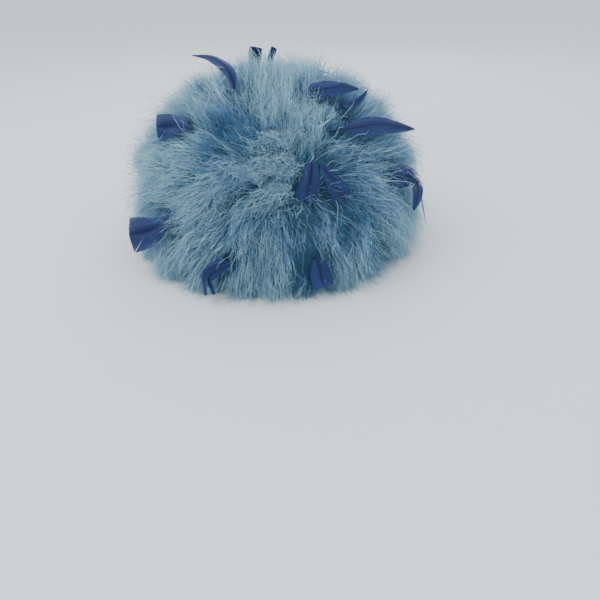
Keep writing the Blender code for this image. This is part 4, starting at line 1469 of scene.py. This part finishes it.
class TOQUE_OT_underdown(bpy.types.Operator):
    """Make the matted down close to the crown, dark with painted shade"""

    bl_idname = "toque.underdown"
    bl_label = "Underdown"

    def execute(self, context):
        mesh = underdown_mesh(*make_plumes(context.scene))
        link_piece("underdown", mesh, underdown_finish(context.scene.toque_down), "marabou_down")
        return {"FINISHED"}


class TOQUE_OT_down(bpy.types.Operator):
    """Grow the marabou down, row by row"""

    bl_idname = "toque.down"
    bl_label = "Marabou down"

    def execute(self, context):
        settings = context.scene.toque_down
        shape, plumes = make_plumes(context.scene)
        clearing = Clearing(shape, [blade for name, blade in make_blades().items() if name not in VEILED])
        finish = down_finish(settings)
        grown = [grow_down(shape, plumes, clearing, settings, SEED + k, kind) for k, kind in enumerate(KINDS)]
        for index in range(ROWS):
            node = "marabou_top" if index == ROWS - 1 else f"marabou_row_{index + 1}"
            for side, sign in (("front", 1), ("back", -1)):
                batches = []
                for *batch, row, azimuth in grown:
                    mine = (row == index) & (np.cos(azimuth) * sign > 0)
                    batches.append([part[mine] for part in batch])
                add_piece(f"{node}_{side}", batches, finish, "marabou_down", node)
        return {"FINISHED"}


class TOQUE_OT_shafts(bpy.types.Operator):
    """Make the bare plume shafts that show in the down"""

    bl_idname = "toque.shafts"
    bl_label = "Plume shafts"

    def execute(self, context):
        shape, plumes = make_plumes(context.scene)
        rng = np.random.default_rng(SHAFTS_SEED)
        batch = plume_shafts(shape, plumes, context.scene.toque_accents, rng)
        add_piece("plume_shafts", [batch], shaft_finish(), "marabou_down")
        return {"FINISHED"}


class TOQUE_OT_accents(bpy.types.Operator):
    """Make the accent feathers, barb by barb"""

    bl_idname = "toque.accents"
    bl_label = "Accent feathers"

    def execute(self, context):
        settings = context.scene.toque_accents
        finish = vane_finish(settings)
        for seed, (name, blade) in enumerate(make_blades().items(), ACCENTS_SEED):
            rng = np.random.default_rng(seed)
            batches = [blade.barbs(settings, side, rng) for side in (-1, 1)] + [blade.quill()]
            node = f"accent_feather_{name}"
            add_piece(f"{node}_vane", batches, finish, "accent_vane", node)
        return {"FINISHED"}


FLOOR_SIZE = 60.0
AIM = Vector((0.0, 0.0, 0.06))  # where the lamps point
LAMPS = [  # name, place, size, power and colour
    ("key", (-0.55, -0.35, 1.15), 1.1, 10.0, (1.0, 0.98, 0.95)),
    ("fill", (0.9, -0.9, 0.7), 0.9, 2.0, (0.92, 0.96, 1.0)),
    ("back", (0.2, 1.0, 0.9), 0.9, 4.0, (0.95, 0.98, 1.0)),
]
SENSOR = 36.0
CAMERA_PLACE = (0.0066, -0.4741, 0.2176)
CAMERA_RIGHT = (0.99916, -0.03824, -0.01444)
CAMERA_UP = (0.03267, 0.53481, 0.84434)
CAMERA_BACK = (-0.02456, -0.84410, 0.53562)


def link_to_stage(name, data):
    thing = bpy.data.objects.new(name, data)
    bpy.context.scene.collection.objects.link(thing)
    return thing


class TOQUE_OT_stage(bpy.types.Operator):
    """Set the floor, the lights and the camera"""

    bl_idname = "toque.stage"
    bl_label = "Stage"

    def execute(self, context):
        settings = context.scene.toque_stage
        bpy.ops.object.select_all(action="DESELECT")
        bpy.ops.mesh.primitive_plane_add(size=FLOOR_SIZE, location=(0.0, 0.0, 0.0))
        floor = context.active_object
        floor.name = "floor"
        floor.data.materials.append(paper_finish(settings.paper))

        world = bpy.data.worlds.new("studio")
        world.use_nodes = True
        sky = world.node_tree.nodes["Background"]
        sky.inputs["Color"].default_value = (*settings.sky, 1.0)
        sky.inputs["Strength"].default_value = settings.sky_strength
        context.scene.world = world
        for name, place, breadth, power, tint in LAMPS:
            light = bpy.data.lights.new(name, "AREA")
            light.energy, light.size, light.color = power, breadth, tint
            lamp = link_to_stage(name, light)
            lamp.location = place
            lamp.rotation_mode = "QUATERNION"
            lamp.rotation_quaternion = (AIM - lamp.location).to_track_quat("-Z", "Y")

        camera = bpy.data.cameras.new("camera")
        camera.lens = settings.lens
        camera.sensor_width = SENSOR
        view = link_to_stage("camera", camera)
        turn = Matrix((CAMERA_RIGHT, CAMERA_UP, CAMERA_BACK)).transposed().to_4x4()
        view.matrix_world = Matrix.Translation(CAMERA_PLACE) @ turn
        context.scene.camera = view
        return {"FINISHED"}


OPERATORS = [
    TOQUE_OT_fabric,
    TOQUE_OT_binding,
    TOQUE_OT_lining,
    TOQUE_OT_sweatband,
    TOQUE_OT_bow,
    TOQUE_OT_underdown,
    TOQUE_OT_down,
    TOQUE_OT_shafts,
    TOQUE_OT_accents,
    TOQUE_OT_stage,
]


class TOQUE_PT_panel(bpy.types.Panel):
    """Lists the hat's pieces in the sidebar"""

    bl_label = "Marabou toque"
    bl_idname = "TOQUE_PT_panel"
    bl_space_type = "VIEW_3D"
    bl_region_type = "UI"
    bl_category = "Toque"

    def draw(self, context):
        for operator in OPERATORS:
            self.layout.operator(operator.bl_idname)


def register():
    for group in SETTINGS.values():
        bpy.utils.register_class(group)
    for name, group in SETTINGS.items():
        setattr(bpy.types.Scene, name, PointerProperty(type=group))
    for operator in OPERATORS:
        bpy.utils.register_class(operator)
    bpy.utils.register_class(TOQUE_PT_panel)


def unregister():
    bpy.utils.unregister_class(TOQUE_PT_panel)
    for operator in reversed(OPERATORS):
        bpy.utils.unregister_class(operator)
    for name, group in SETTINGS.items():
        delattr(bpy.types.Scene, name)
        bpy.utils.unregister_class(group)


def main():
    register()
    for operator in OPERATORS:
        group, name = operator.bl_idname.split(".")
        getattr(getattr(bpy.ops, group), name)()


if __name__ == "__main__":
    main()
